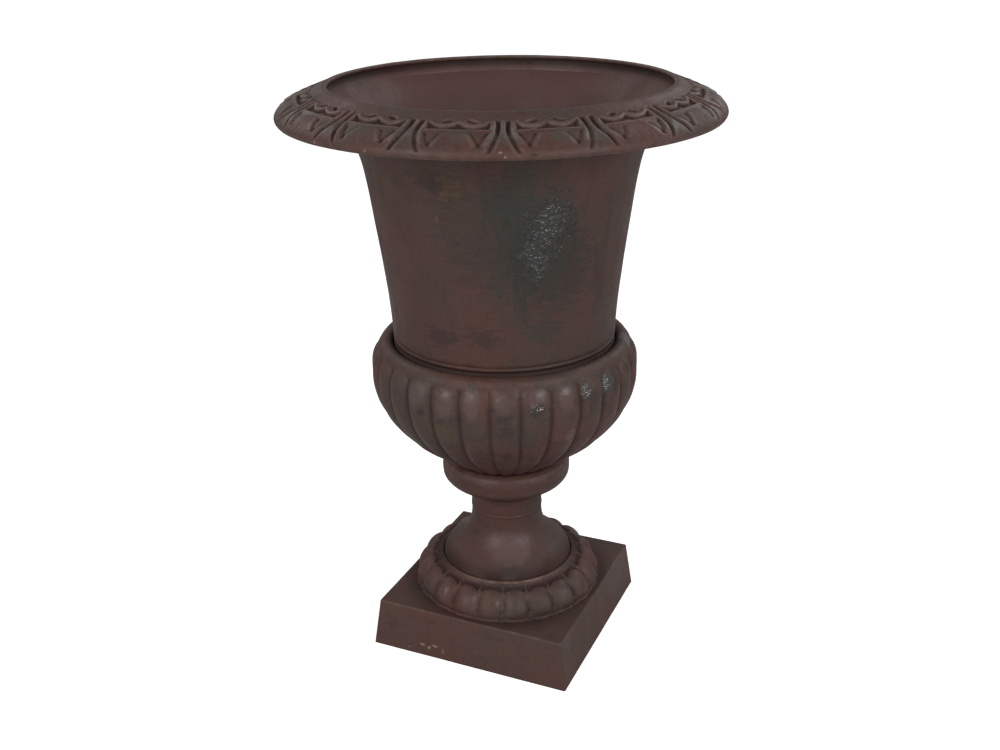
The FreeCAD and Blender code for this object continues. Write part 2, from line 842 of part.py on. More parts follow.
def make_border():
    """Every cut of the leaf-and-dart border, as one compound that the rim blank is cut by."""
    angle = math.radians(LEAF_SIGHT_ANGLE)
    sight = Vector(math.cos(angle), 0, math.sin(angle))
    deep = slope_band(size("groove_depth").value, sight)
    middle = slope_band(size("pocket_depth").value, sight)
    shallow = slope_band(size("panel_depth").value, sight)
    cuts = []
    for mirrored in (False, True):
        cuts.append(leaf_prism(DART_SHARES, sight, mirrored).common(deep))
        cuts.append(leaf_prism(EYE_SHARES, sight, mirrored).common(middle))
        cuts.append(leaf_prism(PANEL_SHARES, sight, mirrored).common(shallow))
    cuts.append(leaf_prism(WAVE_SHARES, sight).common(middle))
    leaf = Part.makeCompound(cuts)
    count = round(size("leaf_count").value)
    pitch = 360 / count
    first = size("leaf_turn").value - 90 + pitch / 2
    leaves = []
    for index in range(count):
        copy = leaf.copy()
        copy.rotate(Vector(0, 0, 0), Vector(0, 0, 1), first + index * pitch)
        leaves.append(copy)
    border = doc.addObject("Part::Feature", "leaf_border")
    border.Shape = Part.makeCompound(leaves)
    border.Placement = Placement(Vector(0, 0, rim_base_z.value), Rotation())
    return border


def make_rim():
    """The rim ring: the turned blank with the border cut into it."""
    blank = make_rim_blank()
    border = make_border()
    rim = doc.addObject("Part::Cut", "rim_ring")
    rim.Label = "rim_ring"
    rim.Base = blank
    rim.Tool = border
    return rim


# Tie rod with its nuts and washers

def make_washer(name, height, radius, thickness, hole):
    """Flat round washer."""
    body = new_body(name, height)
    outline = new_sketch(body, name + "_outline")
    draw_circle(outline, radius)
    draw_circle(outline, hole)
    padded(body, name + "_disc", outline, thickness)
    return body


def make_nut(name, height, thickness):
    """Hexagon nut for the tie rod."""
    body = new_body(name, height)
    outline = new_sketch(body, name + "_outline")
    draw_hexagon(outline, size("nut_width"))
    draw_circle(outline, size("rod_radius") + size("thread_clearance"))
    padded(body, name + "_block", outline, thickness)
    return body


def make_tie_rod(low, high):
    """Round rod with bevelled ends."""
    body = new_body("tie_rod", low)
    length = high - low
    radius = size("rod_radius")
    bevel = size("rod_bevel")
    turned(body, "rod_bar", [
        (0, 0),
        (radius - bevel, 0),
        (radius, bevel),
        (radius, length - bevel),
        (radius - bevel, length),
        (0, length),
    ])
    return body


def make_tie():
    """The rod on the urn's axis and what clamps its ends."""
    washer = size("washer_thickness")
    top_nut_z = floor_top_z + washer
    bottom_washer_z = boss_base_z - washer
    bottom_nut_z = bottom_washer_z - size("nut_height")
    lock_nut_z = bottom_nut_z - size("lock_nut_height")
    low = lock_nut_z - size("rod_overhang")
    high = top_nut_z + size("nut_height") + size("rod_overhang")
    return [
        make_tie_rod(low, high),
        make_washer("top_washer", floor_top_z, size("washer_radius"), washer, rod_hole),
        make_nut("top_nut", top_nut_z, size("nut_height")),
        make_washer("bottom_washer", bottom_washer_z, size("washer_radius"), washer, rod_hole),
        make_nut("bottom_nut", bottom_nut_z, size("nut_height")),
        make_nut("lock_nut", lock_nut_z, size("lock_nut_height")),
    ]


# Screws with their washers

def make_fasteners(name, circle, count, face_z, plate, reach, below=False):
    """Hexagon screws and their washers round a circle; they hold a plate from above, or from below."""
    washer = size("screw_washer_thickness")
    head = size("screw_head_height")
    washer_z = face_z - washer if below else face_z
    head_z = washer_z - head if below else washer_z + washer
    low_z = head_z if below else face_z - plate - reach
    washers = new_body(name + "_washers", washer_z)
    outline = new_sketch(washers, name + "_washer_outline")
    draw_circle(outline, size("screw_washer_radius"), x=circle)
    draw_circle(outline, size("screw_radius") + size("fit_clearance"), x=circle)
    disc = padded(washers, name + "_washer", outline, washer)
    around(washers, name + "_washer_pattern", [disc], count)
    screws = new_body(name + "_screws", low_z)
    shank_outline = new_sketch(screws, name + "_shank_outline")
    draw_circle(shank_outline, size("screw_radius"), x=circle)
    shank = padded(screws, name + "_shank", shank_outline, head + washer + plate + reach)
    head_outline = new_sketch(screws, name + "_head_outline", height=head_z - low_z)
    draw_hexagon(head_outline, size("screw_head_width"), x=circle)
    block = padded(screws, name + "_head", head_outline, head)
    around(screws, name + "_screw_pattern", [shank, block], count)
    return [screws, washers]


# The whole urn, checked and written

pieces = [make_plinth(), make_ring(), make_bell(), make_collar(), make_bowl(), make_body(), make_rim()]
pieces += make_tie()
pieces += make_fasteners("rim", rim_screw_circle, size("rim_screw_count"),
                         rim_base_z - size("flange_thickness"), size("flange_thickness"),
                         size("rim_screw_reach"), below=True)
pieces += make_fasteners("seat", seat_screw_circle, size("seat_screw_count"),
                         body_base_z + size("body_foot_thickness"), size("body_foot_thickness"),
                         size("seat_screw_reach"))
doc.recompute()

for item in doc.Objects:
    if "Invalid" in item.State or "Error" in item.State:
        raise RuntimeError("%s did not rebuild: %s" % (item.Label, item.State))

os.makedirs("parts", exist_ok=True)
for piece in pieces:
    shape = piece.Shape
    if shape.isNull() or not shape.isValid():
        raise RuntimeError("%s has no valid shape" % piece.Label)
    box = shape.optimalBoundingBox()
    print("%-14s %2d solids  %9.1f cm3  z %7.2f to %7.2f  radius %.2f" % (
        piece.Label, len(shape.Solids), shape.Volume / 1000, box.ZMin, box.ZMax, box.XMax))
    shape.exportStep(os.path.join("parts", piece.Label + ".step"))
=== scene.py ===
# %% [markdown]
# # A cast-iron campana urn
# The urn is a stack of iron castings clamped by one threaded rod. This script loads the exact pieces as a
# fixed frame and lays a finer skin over each, with the carved rim, the lobes, the worn edges and the rusty,
# faintly glossy finish that the real iron has.

# %% Load the construction
import math

import bpy
import numpy as np
from mathutils import Matrix, Vector


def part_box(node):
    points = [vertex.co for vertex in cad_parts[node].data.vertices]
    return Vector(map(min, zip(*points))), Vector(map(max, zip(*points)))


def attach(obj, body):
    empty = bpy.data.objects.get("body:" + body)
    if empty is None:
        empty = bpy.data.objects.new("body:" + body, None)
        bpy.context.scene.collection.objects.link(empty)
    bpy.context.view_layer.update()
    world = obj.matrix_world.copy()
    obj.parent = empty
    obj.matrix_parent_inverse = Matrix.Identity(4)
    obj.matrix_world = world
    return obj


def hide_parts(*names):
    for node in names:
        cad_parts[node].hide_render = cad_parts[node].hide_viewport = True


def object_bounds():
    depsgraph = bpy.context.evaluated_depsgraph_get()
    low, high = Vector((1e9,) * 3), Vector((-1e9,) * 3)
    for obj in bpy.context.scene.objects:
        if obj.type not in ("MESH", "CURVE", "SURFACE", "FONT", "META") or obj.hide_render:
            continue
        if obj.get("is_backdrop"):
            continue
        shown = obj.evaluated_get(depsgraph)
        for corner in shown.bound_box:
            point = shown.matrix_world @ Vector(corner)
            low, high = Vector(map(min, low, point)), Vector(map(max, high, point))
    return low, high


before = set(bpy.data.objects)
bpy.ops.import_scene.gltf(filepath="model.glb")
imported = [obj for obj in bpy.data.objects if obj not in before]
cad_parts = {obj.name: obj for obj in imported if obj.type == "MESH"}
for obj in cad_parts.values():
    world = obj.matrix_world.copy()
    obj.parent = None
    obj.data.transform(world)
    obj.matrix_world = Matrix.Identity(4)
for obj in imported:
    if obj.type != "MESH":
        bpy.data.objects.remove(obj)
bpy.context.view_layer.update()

# %% [markdown]
# ## Outlines
# Most of the urn is turned, so each casting starts as a closed outline in radius and height, in millimetres.
# It could be drawn with curve objects, but an array of points keeps every size readable. Corners are eased,
# because sand-cast iron never has a sharp edge.

# %% Outline helpers
MM = 0.001
SMOOTH_STEPS = 24
EASE_STEPS = 3


def reach_of(points):
    """Length of the first two coordinates: the distance from the axis, or the length of a step."""
    return np.hypot(points[..., 0], points[..., 1])


def smooth_run(points, count):
    """Evenly spaced points on a smooth curve through the given ones.
    Between neighbours p1 and p2 it is half of (2 p1 + (p2 - p0) t + (2 p0 - 5 p1 + 4 p2 - p3) t^2
    + (3 p1 - p0 - 3 p2 + p3) t^3)."""
    p = np.asarray(points, float)
    p = np.vstack([2 * p[0] - p[1], p, 2 * p[-1] - p[-2]])
    p0, p1, p2, p3 = (p[k:len(p) - 3 + k, None, :] for k in range(4))
    t = np.linspace(0, 1, SMOOTH_STEPS, endpoint=False)[None, :, None]
    curve = 0.5 * (2 * p1 + (p2 - p0) * t + (2 * p0 - 5 * p1 + 4 * p2 - p3) * t ** 2
                   + (3 * p1 - p0 - 3 * p2 + p3) * t ** 3)
    curve = np.vstack([curve.reshape(-1, 2), p[-2]])
    way = np.append(0, np.cumsum(reach_of(np.diff(curve, axis=0))))
    places = np.linspace(0, way[-1], count)
    return np.stack([np.interp(places, way, curve[:, 0]), np.interp(places, way, curve[:, 1])], -1)


def eased(parts):
    """A closed outline from lists of plain points and of corners (radius, height, easing). A corner becomes
    (1 - t)^2 a + 2 t (1 - t) corner + t^2 b, where a and b lie its easing away along its two sides."""
    c = np.vstack([np.pad(np.asarray(part, float), ((0, 0), (0, 3 - len(part[0])))) for part in parts])
    here = c[:, :2]
    ends = []
    for other in (np.roll(here, 1, axis=0), np.roll(here, -1, axis=0)):
        side = other - here
        length = reach_of(side)
        reach = np.minimum(c[:, 2], 0.48 * length) / np.maximum(length, 1e-9)
        ends.append(here + side * reach[:, None])
    t = np.linspace(0, 1, EASE_STEPS + 1)[None, :, None]
    curve = (1 - t) ** 2 * ends[0][:, None] + 2 * t * (1 - t) * here[:, None] + t ** 2 * ends[1][:, None]
    curve = curve.reshape(-1, 2)
    return curve[reach_of(curve - np.roll(curve, 1, axis=0)) > 1e-4]


def divided(outline, spacing):
    """The closed outline with its long sides divided into steps no longer than the spacing."""
    step = np.roll(outline, -1, axis=0) - outline
    parts = np.ceil(reach_of(step) / spacing).astype(int).clip(1)
    first = np.repeat(np.arange(len(outline)), parts)
    within = np.arange(len(first)) - np.repeat(np.cumsum(parts) - parts, parts)
    share = within / parts[first]
    return outline[first] + step[first] * share[:, None]


# %% [markdown]
# ## From an outline to a skin
# An outline is carried round the axis as a grid of rows and columns. The grid closes on itself both ways, so
# there is no seam and no pole. Carving is a height at each grid point, pushed along the outline's own normal.
# A screw modifier with a displacement picture could do it too, but formulas stay exact.

# %% Skin helpers
LATTICE, LATTICE_START = 32, 100
JOINT_TOP, JOINT_NECK = 604, 150


def outline_normals(outline):
    """Unit normals of a closed outline, out of the iron: its steps, turned by 90 degrees."""
    along = np.roll(outline, -1, axis=0) - np.roll(outline, 1, axis=0)
    along /= reach_of(along)[:, None]
    r, z = outline.T
    area = np.sum(r * np.roll(z, -1) - np.roll(r, -1) * z)
    return np.stack([along[:, 1], -along[:, 0]], -1) * math.copysign(1, area)


def azimuths(columns):
    """A row with the azimuth of each column in degrees, from the front (-Y) towards the right (+X)."""
    return np.arange(columns)[None, :] * (360 / columns)


def turned(outline, columns, height=0):
    """The outline carried round the axis, raised by a height of rows by columns along its normals.
    A point is ((r + nr h) sin a, -(r + nr h) cos a, z + nz h) at azimuth a."""
    normal = outline_normals(outline)
    reach, rise = outline[:, :1] + normal[:, :1] * height, outline[:, 1:] + normal[:, 1:] * height
    angle = np.radians(azimuths(columns))
    return np.stack([reach * np.sin(angle), -reach * np.cos(angle), rise + 0 * angle], -1)


def grid_normals(grid):
    """Unit normals of a closed grid, facing out: the cross product of its steps along rows and columns."""
    down = np.roll(grid, -1, axis=0) - np.roll(grid, 1, axis=0)
    across = np.roll(grid, -1, axis=1) - np.roll(grid, 1, axis=1)
    normal = np.cross(across, down)
    normal /= np.maximum(np.linalg.norm(normal, axis=-1, keepdims=True), 1e-12)
    volume = np.sum(grid * np.cross(across, down))
    return normal * math.copysign(1, volume)


def humps(points, size, seed):
    """Smooth noise from -1 to 1 whose humps have the given size in millimetres.
    Random values sit on a cubic lattice, and a point blends its eight corners by s = f^2 (3 - 2 f)."""
    table = np.random.default_rng(seed).uniform(-1, 1, (LATTICE, LATTICE, LATTICE))
    place = points / size + LATTICE_START
    cell = np.floor(place).astype(int)
    f = place - cell
    s = f * f * (3 - 2 * f)
    total = np.zeros(points.shape[:-1])
    for corner in range(8):
        bit = [(corner >> k) & 1 for k in range(3)]
        index = [(cell[..., k] + bit[k]) % LATTICE for k in range(3)]
        weight = np.prod([s[..., k] if bit[k] else 1 - s[..., k] for k in range(3)], axis=0)
        total += weight * table[index[0], index[1], index[2]]
    return total


def cast_skin(grid, amount, seed, joint=-100):
    """The uneven surface that damp sand leaves: the grid sinks by up to the amount, but not at a joint's
    height, where machined faces meet."""
    depth = amount * (0.5 + 0.36 * humps(grid, 34, seed) + 0.14 * humps(grid, 9, seed + 1))
    depth *= np.clip(np.abs(grid[..., 2] - joint) / 3, 0, 1)
    return grid - grid_normals(grid) * depth[..., None]


# %% [markdown]
# ## Marks for wear, dirt and painted light
# Real iron is rubbed bright on what stands out and keeps paint and dirt in what lies deep. A shader can guess
# this with Pointiness, but only in one renderer. Here each grid point is compared with the mean of its
# neighbours a few steps away, and the results are stored on the mesh as crest and hollow. Some pieces add
# painted highlights to the crest and painted shade to the hollow.

# %% Marks and meshes
def wear_marks(grid, row_steps, column_steps, scale):
    """(crest, hollow) from 0 to 1: how far a point stands out of, or lies below, the mean of four neighbours
    some steps away, along its normal, divided by a scale in millimetres."""
    mean = (np.roll(grid, row_steps, axis=0) + np.roll(grid, -row_steps, axis=0)
            + np.roll(grid, column_steps, axis=1) + np.roll(grid, -column_steps, axis=1)) / 4
    sunk = np.sum((mean - grid) * grid_normals(grid), axis=-1) / scale
    return np.clip(-sunk, 0, 1), np.clip(sunk, 0, 1)


def skin_faces(rows, columns):
    """Quads of a grid that closes both ways: (i, j), (i + 1, j), (i + 1, j + 1), (i, j + 1)."""
    i, j = np.meshgrid(np.arange(rows), np.arange(columns), indexing="ij")
    below = (i + 1) % rows * columns
    beside = (j + 1) % columns
    return np.stack([i * columns + j, below + j, below + beside, i * columns + beside], -1).reshape(-1, 4)


def volume_of(points, faces):
    """Volume inside quads: a sixth of the sum of a . (b x c) over their two halves."""
    a, b, c, d = (points[faces[:, k]] for k in range(4))
    return (np.sum(a * np.cross(b, c)) + np.sum(a * np.cross(c, d))) / 6


def add_object(name, data):
    """A new object in the scene."""
    thing = bpy.data.objects.new(name, data)
    bpy.context.scene.collection.objects.link(thing)
    return thing


def make_mesh(name, points, faces, crest=None, hollow=None, lining=None):
    """An object from points in millimetres and quads, smooth, turned outwards, with its marks for wear and
    dirt and for painted light.
    """
    if volume_of(points, faces) < 0:
        faces = faces[:, ::-1]
    mesh = bpy.data.meshes.new(name)
    mesh.from_pydata((points * MM).tolist(), [], faces.tolist())
    mesh.polygons.foreach_set("use_smooth", np.ones(len(mesh.polygons), bool))
    for mark, values in (("crest", crest), ("hollow", hollow), ("lining", lining)):
        layer = mesh.attributes.new(mark, "FLOAT", "POINT")
        if values is not None:
            layer.data.foreach_set("value", values.ravel().astype(np.float32))
    mesh.validate()
    print(name, len(mesh.polygons) * 2, "triangles, volume %.0f cm3" % (abs(volume_of(points, faces)) / 1000))
    return add_object(name, mesh)


def skin_piece(name, grid, row_steps, column_steps, scale, rubbed_and_highlit=0, dirt_and_shade=0, lining=None):
    """A piece from one closed grid with its marks, raised where a place is known to be rubbed or filled with
    dirt, and where painted highlights and painted shade are given. The lining is the mouth's redder inside."""
    crest, hollow = wear_marks(grid, row_steps, column_steps, scale)
    crest, hollow = np.maximum(crest, rubbed_and_highlit), np.maximum(hollow, dirt_and_shade)
    return make_mesh(name, grid.reshape(-1, 3), skin_faces(*grid.shape[:2]), crest, hollow, lining)


def settle(piece, node):
    """The piece takes the node's place in the construction and rides with the urn."""
    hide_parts(node)
    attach(piece, "root")


# %% [markdown]
# ## Carving helpers
# The border on the rim is described as a maker would: bars, grooves, eyes and panels with soft edges. Each
# shape is a distance in millimetres, negative inside, and a soft step turns it into a height. Adding the
# heights gives the whole carving, so a shape can be moved or deepened alone.

# %% Soft shapes
def inside(distance, soft):
    """1 well inside a shape and 0 well outside, by t^2 (3 - 2 t) with t falling over the soft width."""
    t = np.clip(0.5 - distance / soft, 0, 1)
    return t * t * (3 - 2 * t)


def groove(distance, half_width):
    """A round-bottomed channel: exp(-(distance / half width)^4)."""
    return np.exp(-(distance / half_width) ** 4)


def oval(x, y, centre, half, tilt):
    """Distance-like measure of a tilted ellipse: (sqrt((u/a)^2 + (v/b)^2) - 1) b."""
    c, s = math.cos(math.radians(tilt)), math.sin(math.radians(tilt))
    u = (x - centre[0]) * c + (y - centre[1]) * s
    v = (y - centre[1]) * c - (x - centre[0]) * s
    return (np.sqrt((u / half[0]) ** 2 + (v / half[1]) ** 2) - 1) * half[1]


def facet(x, y, corners):
    """Distance to a convex shape, its corners listed from x towards y: the largest distance to a side."""
    return np.max([((x - ax) * (by - ay) - (y - ay) * (bx - ax)) / math.hypot(bx - ax, by - ay)
                   for (ax, ay), (bx, by) in zip(corners, corners[1:] + corners[:1])], axis=0)


def stroke(x, y, start, end):
    """Distance to the straight line between two points."""
    dx, dy = end[0] - start[0], end[1] - start[1]
    share = np.clip(((x - start[0]) * dx + (y - start[1]) * dy) / (dx * dx + dy * dy), 0, 1)
    return np.hypot(x - start[0] - share * dx, y - start[1] - share * dy)


# %% [markdown]
# ## The rim
# The widest casting: an overhanging ring whose sloping top carries a leaf-and-dart border of sixteen leaves.

# %% The rim's outline
RIM_COLUMNS = 1024
rim_slope = smooth_run([(175.2, 619.5), (183, 615.4), (189.5, 612.9), (195.9, 610.3), (203, 607.6),
    (209.5, 604.9), (215.2, 601.7), (219.2, 598.4), (221.8, 594.9), (222.6, 591.9), (222, 589.7)], 72)
rim_outline = divided(eased([
    [(169.7, 604, 0), (169.75, 604.2, 0), (170.9, 607.4, 2.5), (172.6, 611.6, 2), (172.4, 615, 0.9),
     (169.8, 616.8, 1), (169.8, 620, 1.5), (173.4, 620, 1.2)],
    rim_slope,
    [(220.4, 587.4, 1.1), (215.3, 587.6, 0.9), (216.6, 592.2, 2.5), (206.6, 598.9, 2.5), (192.4, 603.2, 0.8),
     (192, 604, 0.3), (170.1, 604, 0)],
]), 9)
print("rim rows", len(rim_outline))

# %% The leaf-and-dart border
LEAF_COUNT = 16
LEAF_TURN = 1.7
ACROSS = 3.5


def slope_lengths(outline, start):
    """Length along a closed outline from the point nearest the start, both ways up to its far side."""
    way = np.append(0, np.cumsum(reach_of(np.roll(outline, -1, axis=0) - outline)))
    total = way[-1]
    from_start = way[:-1] - way[np.argmin(reach_of(outline - start))]
    return (from_start + total / 2) % total - total / 2


def leaf_and_dart(s, angle, wander):
    """Height of the border at length s down the slope and angle in degrees. One leaf spans 22.5 degrees; x is
    the way from its middle, folded, because its halves mirror each other."""
    pitch = 360 / LEAF_COUNT
    x = np.abs((angle - LEAF_TURN) % pitch - pitch / 2 + wander[0] * 0.16) * ACROSS
    s = s + wander[1] * 0.45
    line = np.interp(s, (8, 12, 20, 30, 40, 45, 52, 58), (9.75, 9.95, 10.12, 9.9, 9.2, 8.8, 8.05, 7.5))
    line *= ACROSS
    along = inside(np.maximum(10.6 - s, s - 53.5), 3.5)
    deep = np.interp(s, (10, 40, 54), (2.7, 2.4, 1))
    height = -deep * along * groove(x - line, np.interp(s, (10, 38, 54), (2.15, 1.95, 1.3)))
    height += 0.5 * inside(np.abs(x - 14.7) - 9, 16) * inside(np.abs(s - 36) - 8, 12)
    ribbon = 19.3 - 5.2 * np.abs(x / 13.3 - 1) ** 1.8
    height += 0.95 * inside(np.maximum(np.abs(s - ribbon) - 2.5, x - 28), 2.2)
    height -= 2.3 * inside(np.maximum.reduce([ribbon + 2.7 - s, s - 24.9, x - 27.3]), 1.7)
    eye = oval(x, s, (11.725, 12.3), (4.6, 2), 20)
    height -= 2.2 * inside(eye, 1.5)
    bar = np.maximum.reduce([25.4 - s, s - 28.8, x - 28])
    height += 0.8 * inside(bar, 1.9)
    border = np.abs(x - line + 4.725) - 1.5
    height += 0.8 * inside(np.maximum.reduce([border, 12.5 - s, s - 45]), 1.8)
    panel = facet(x, s, [(20.65, 46), (18.55, 46), (12.25, 31.9), (19.6, 30.8), (26.6, 31.9)])
    height -= 0.75 * inside(panel, 3)
    for top in (25.55, 13.3):
        height -= 0.8 * inside(stroke(x, s, (top, 32), (19.6, 47)) - 1, 4.4)
    height += 0.5 * inside(stroke(x, s, (8.4, 33), (14.7, 46)) - 1.4, 4)
    height -= 0.7 * inside(stroke(x, s, (5.95, 42), (4.2, 50)) - 0.6, 3)
    dart = np.maximum.reduce([np.abs(x - pitch / 2 * ACROSS) - 1.6, 13 - s, s - 38])
    return height + 0.7 * inside(dart, 1.6)


# %% The rim's skin
slope_place = slope_lengths(rim_outline, (176, 619))[:, None]
plain_rim = turned(rim_outline, RIM_COLUMNS)
wander = [humps(plain_rim, size, seed) + 0.5 * humps(plain_rim, 7, seed + 1)
          for size, seed in ((17, 5), (15, 7))]
on_slope = inside(np.maximum(4 - slope_place, slope_place - 57), 4)
carving = leaf_and_dart(slope_place, azimuths(RIM_COLUMNS), wander)
carving *= on_slope * (0.95 + 0.22 * humps(plain_rim, 26, 9))
rim_grid = cast_skin(turned(rim_outline, RIM_COLUMNS, (carving - 0.05) * on_slope), 0.3, 11, JOINT_TOP)
reach, height = reach_of(rim_grid), rim_grid[..., 2]
# Painted shade: the inner wall under the lip bead is darkened through the dark fill, for the lip's shadow.
painted_shade_under_bead = inside(np.maximum(height - 615.5, reach - 175), 3) * inside(608 - height, 11)
# The lip's inner edge is lighter all round: worn iron, and a painted highlight along the rounded edge.
lip_wear_and_highlight = inside(np.hypot(reach - 170.3, height - 619.6) - 1.1, 0.9)
rim = skin_piece("rim", rim_grid, 3, 3, 0.85, rubbed_and_highlit=lip_wear_and_highlight, dirt_and_shade=0.6 * painted_shade_under_bead,
                 lining=inside(np.maximum(reach - 173, height - 616), 3))
settle(rim, "rim_ring")

# %% [markdown]
# ## The campana body
# A plain flaring wall: its beauty is the long hollow curve. It carries no carving, so its grid is coarser,
# and hand-rammed sand shows as shallow humps in the gloss.

# %% The body's skin
body_wall = smooth_run([(118.4, 361.4), (118.9, 375), (120.9, 400), (123.1, 420), (125.5, 440), (128, 460),
    (130.7, 480), (133.5, 500), (136.4, 520), (140, 540), (144, 555), (149.5, 569), (156.5, 581),
    (164.3, 591), (172.4, 597.6)], 84)
body_cove = smooth_run([(169, 603.2), (158.5, 591.5), (148.5, 576), (141.2, 560), (136.6, 545),
    (130.9, 518), (125.6, 485), (120.2, 445), (115.6, 405), (113.2, 375), (112, 360)], 46)
body_outline = divided(eased([
    [(86.7, 343, 0.6), (91.7, 343, 0.6), (91.7, 346, 0.3), (118.4, 346, 0.3), (118.2, 350.6, 1),
     (116.3, 353.2, 1.5), (116.5, 355.4, 1), (118.1, 356.8, 0.8), (118.3, 358.6, 0.8), (117, 359.4, 0.5),
     (117.4, 360.6, 0.5)],
    body_wall,
    [(173.6, 598, 0.8), (192, 598, 0.8), (192, 604, 0.4), (170.1, 604, 0), (169.7, 604, 0),
     (169.55, 603.83, 0)],
    body_cove,
    [(110.6, 352, 3), (86.7, 352, 0.8)],
]), 5)
body_grid = cast_skin(turned(body_outline, 400), 0.45, 21, JOINT_TOP)
reach, height = reach_of(body_grid), body_grid[..., 2]
# Dirt and painted shade: the groove where the body's foot sits in the bowl is darkened through the dark fill.
groove_dirt_and_shade = inside(np.maximum(np.abs(height - 350.2) - 6.3, 113 - reach), 1.2)
wall_reach = np.interp(height, body_wall[:, 1], body_wall[:, 0])
mouth = inside(reach - wall_reach + 3, 2)
body = skin_piece("body", body_grid, 2, 2, 0.8, dirt_and_shade=groove_dirt_and_shade, lining=mouth)
settle(body, "campana_body")

# %% [markdown]
# ## The lobed bowl
# Twenty-eight gadroons, each a long cushion with an arched top and a rounded foot. Across a lobe the height
# follows a full round that drops steeply at its edge, so the lines between lobes are narrow. The bowl's plain
# shoulder rolls over into a groove round the body's foot.

# %% The gadroons
def lobe_share(angle, count, turn):
    """How far a column lies from its lobe's middle: 0 there, 1 in the valleys."""
    pitch = 360 / count
    return np.abs((angle - turn) % pitch / pitch * 2 - 1)


def gadroons(s, t, arch_top, arch_line, foot_line, foot_end, depth):
    """Height of long lobes: -depth (1 - (1 - u^2)^0.72), where u = hypot(t, v) is 1 at the edge and v grows
    to 1 over arch and foot."""
    v = np.maximum((arch_line - s) / (arch_line - arch_top), (s - foot_line) / (foot_end - foot_line))
    u = np.clip(np.hypot(t, np.clip(v, 0, 2)), 0, 1)
    return -depth * (1 - (1 - u ** 2) ** 0.72)


BOWL_LOBES = 28
BOWL_COLUMNS = BOWL_LOBES * 30
bowl_wall = smooth_run([(126.6, 354.4), (129.8, 353.5), (133.4, 350.9), (137, 345.9), (139.9, 340),
    (142, 334), (143, 327), (143.1, 315), (142, 305), (138.4, 290.5), (133.2, 279), (127.4, 270),
    (119.8, 260), (110.8, 250), (105.4, 245), (95.2, 236.6), (83, 228), (71, 219.5), (64.5, 214.6)], 84)
bowl_hollow = smooth_run([(130.6, 337.2), (131.3, 325), (130.2, 306), (122.5, 284), (112, 267), (96, 250),
    (76, 234.5), (59, 225.5)], 26)
bowl_outline = divided(eased([
    [(118.9, 351.8, 1), (121.8, 353.9, 2.4)],
    bowl_wall,
    [(61.4, 213, 0.8), (7, 213, 0.2), (7, 222, 0.2), (51.5, 222, 4)],
    bowl_hollow[::-1],
    [(129.5, 339.5, 1.5), (92, 339.5, 0.8), (92, 346, 0.8), (118.9, 346, 0.5)],
]), 9)
bowl_place = slope_lengths(bowl_outline, (133.4, 350.9))[:, None]
bowl_round = np.where((bowl_place > -9) & (bowl_place < 176), 1, 0)
plain_bowl = turned(bowl_outline, BOWL_COLUMNS)
bowl_share = lobe_share(azimuths(BOWL_COLUMNS) + 0.5 * humps(plain_bowl, 26, 35), BOWL_LOBES, 4.6)
bowl_depth = np.interp(bowl_place, (-9, -2, 2, 7, 14, 36, 70, 120, 160, 174),
                       (0.2, 0.7, 1.4, 2.8, 4.3, 5, 4.4, 3.2, 2.2, 1))
uneven = bowl_place + 2.2 * humps(plain_bowl, 11, 36)
lobes = gadroons(uneven, bowl_share, 1.5, 14, 160, 177, bowl_depth) * bowl_round
lobes *= 1 + 0.16 * humps(plain_bowl, 22, 31)
bowl_grid = cast_skin(turned(bowl_outline, BOWL_COLUMNS, lobes), 0.6, 33)
# Dirt and painted shade in the same groove, on the bowl's side.
groove_shade_distance = np.maximum(reach_of(bowl_grid) - 122, np.abs(bowl_grid[..., 2] - 350) - 5.5)
bowl = skin_piece("bowl", bowl_grid, 2, 5, 1.5, dirt_and_shade=0.9 * inside(groove_shade_distance, 4))

# %% [markdown]
# Water leaves through three small holes beside the rod. They are drilled with a Boolean modifier, as a
# foundry would drill the finished casting.

# %% Drilling
DRILL_SIDES = 32


def round_circle(radius, count):
    """Places evenly round the axis, from the +X side."""
    turn = np.arange(count) * 2 * math.pi / count
    return np.stack([np.cos(turn), np.sin(turn)], -1) * radius


def drill(piece, places, radius, low, high):
    """Cuts round upright holes at the given (x, y) places, all in millimetres, and applies the cut."""
    points, faces = [], []
    for x, y in places:
        base, lid = len(points), len(points) + DRILL_SIDES
        points += [(x + u, y + v, z) for z in (low, high) for u, v in round_circle(radius, DRILL_SIDES)]
        steps = [(k, (k + 1) % DRILL_SIDES) for k in range(DRILL_SIDES)]
        faces += [(base + k, base + after, lid + after, lid + k) for k, after in steps]
        faces += [tuple(range(lid - 1, base - 1, -1)), tuple(range(lid, lid + DRILL_SIDES))]
    mesh = bpy.data.meshes.new("drill")
    mesh.from_pydata((np.array(points) * MM).tolist(), [], faces)
    tool = add_object("drill", mesh)
    cut = piece.modifiers.new("drilled", "BOOLEAN")
    cut.operation = "DIFFERENCE"
    cut.solver = "EXACT"
    cut.object = tool
    bpy.context.view_layer.update()
    result = bpy.data.meshes.new_from_object(piece.evaluated_get(bpy.context.evaluated_depsgraph_get()))
    piece.modifiers.clear()
    piece.data = result
    bpy.data.objects.remove(tool)
    print(piece.name, "after drilling", sum(len(p.vertices) - 2 for p in result.polygons), "triangles")


drill(bowl, round_circle(24.5, 3), 5, 205, 230)
settle(bowl, "lobed_bowl")

# %% [markdown]
# ## The stem
# Below the bowl come the round cushion of the collar, a short neck and the bell foot. They are plain turned
# forms; the joint between collar and bell shows as a thin bead round the neck.

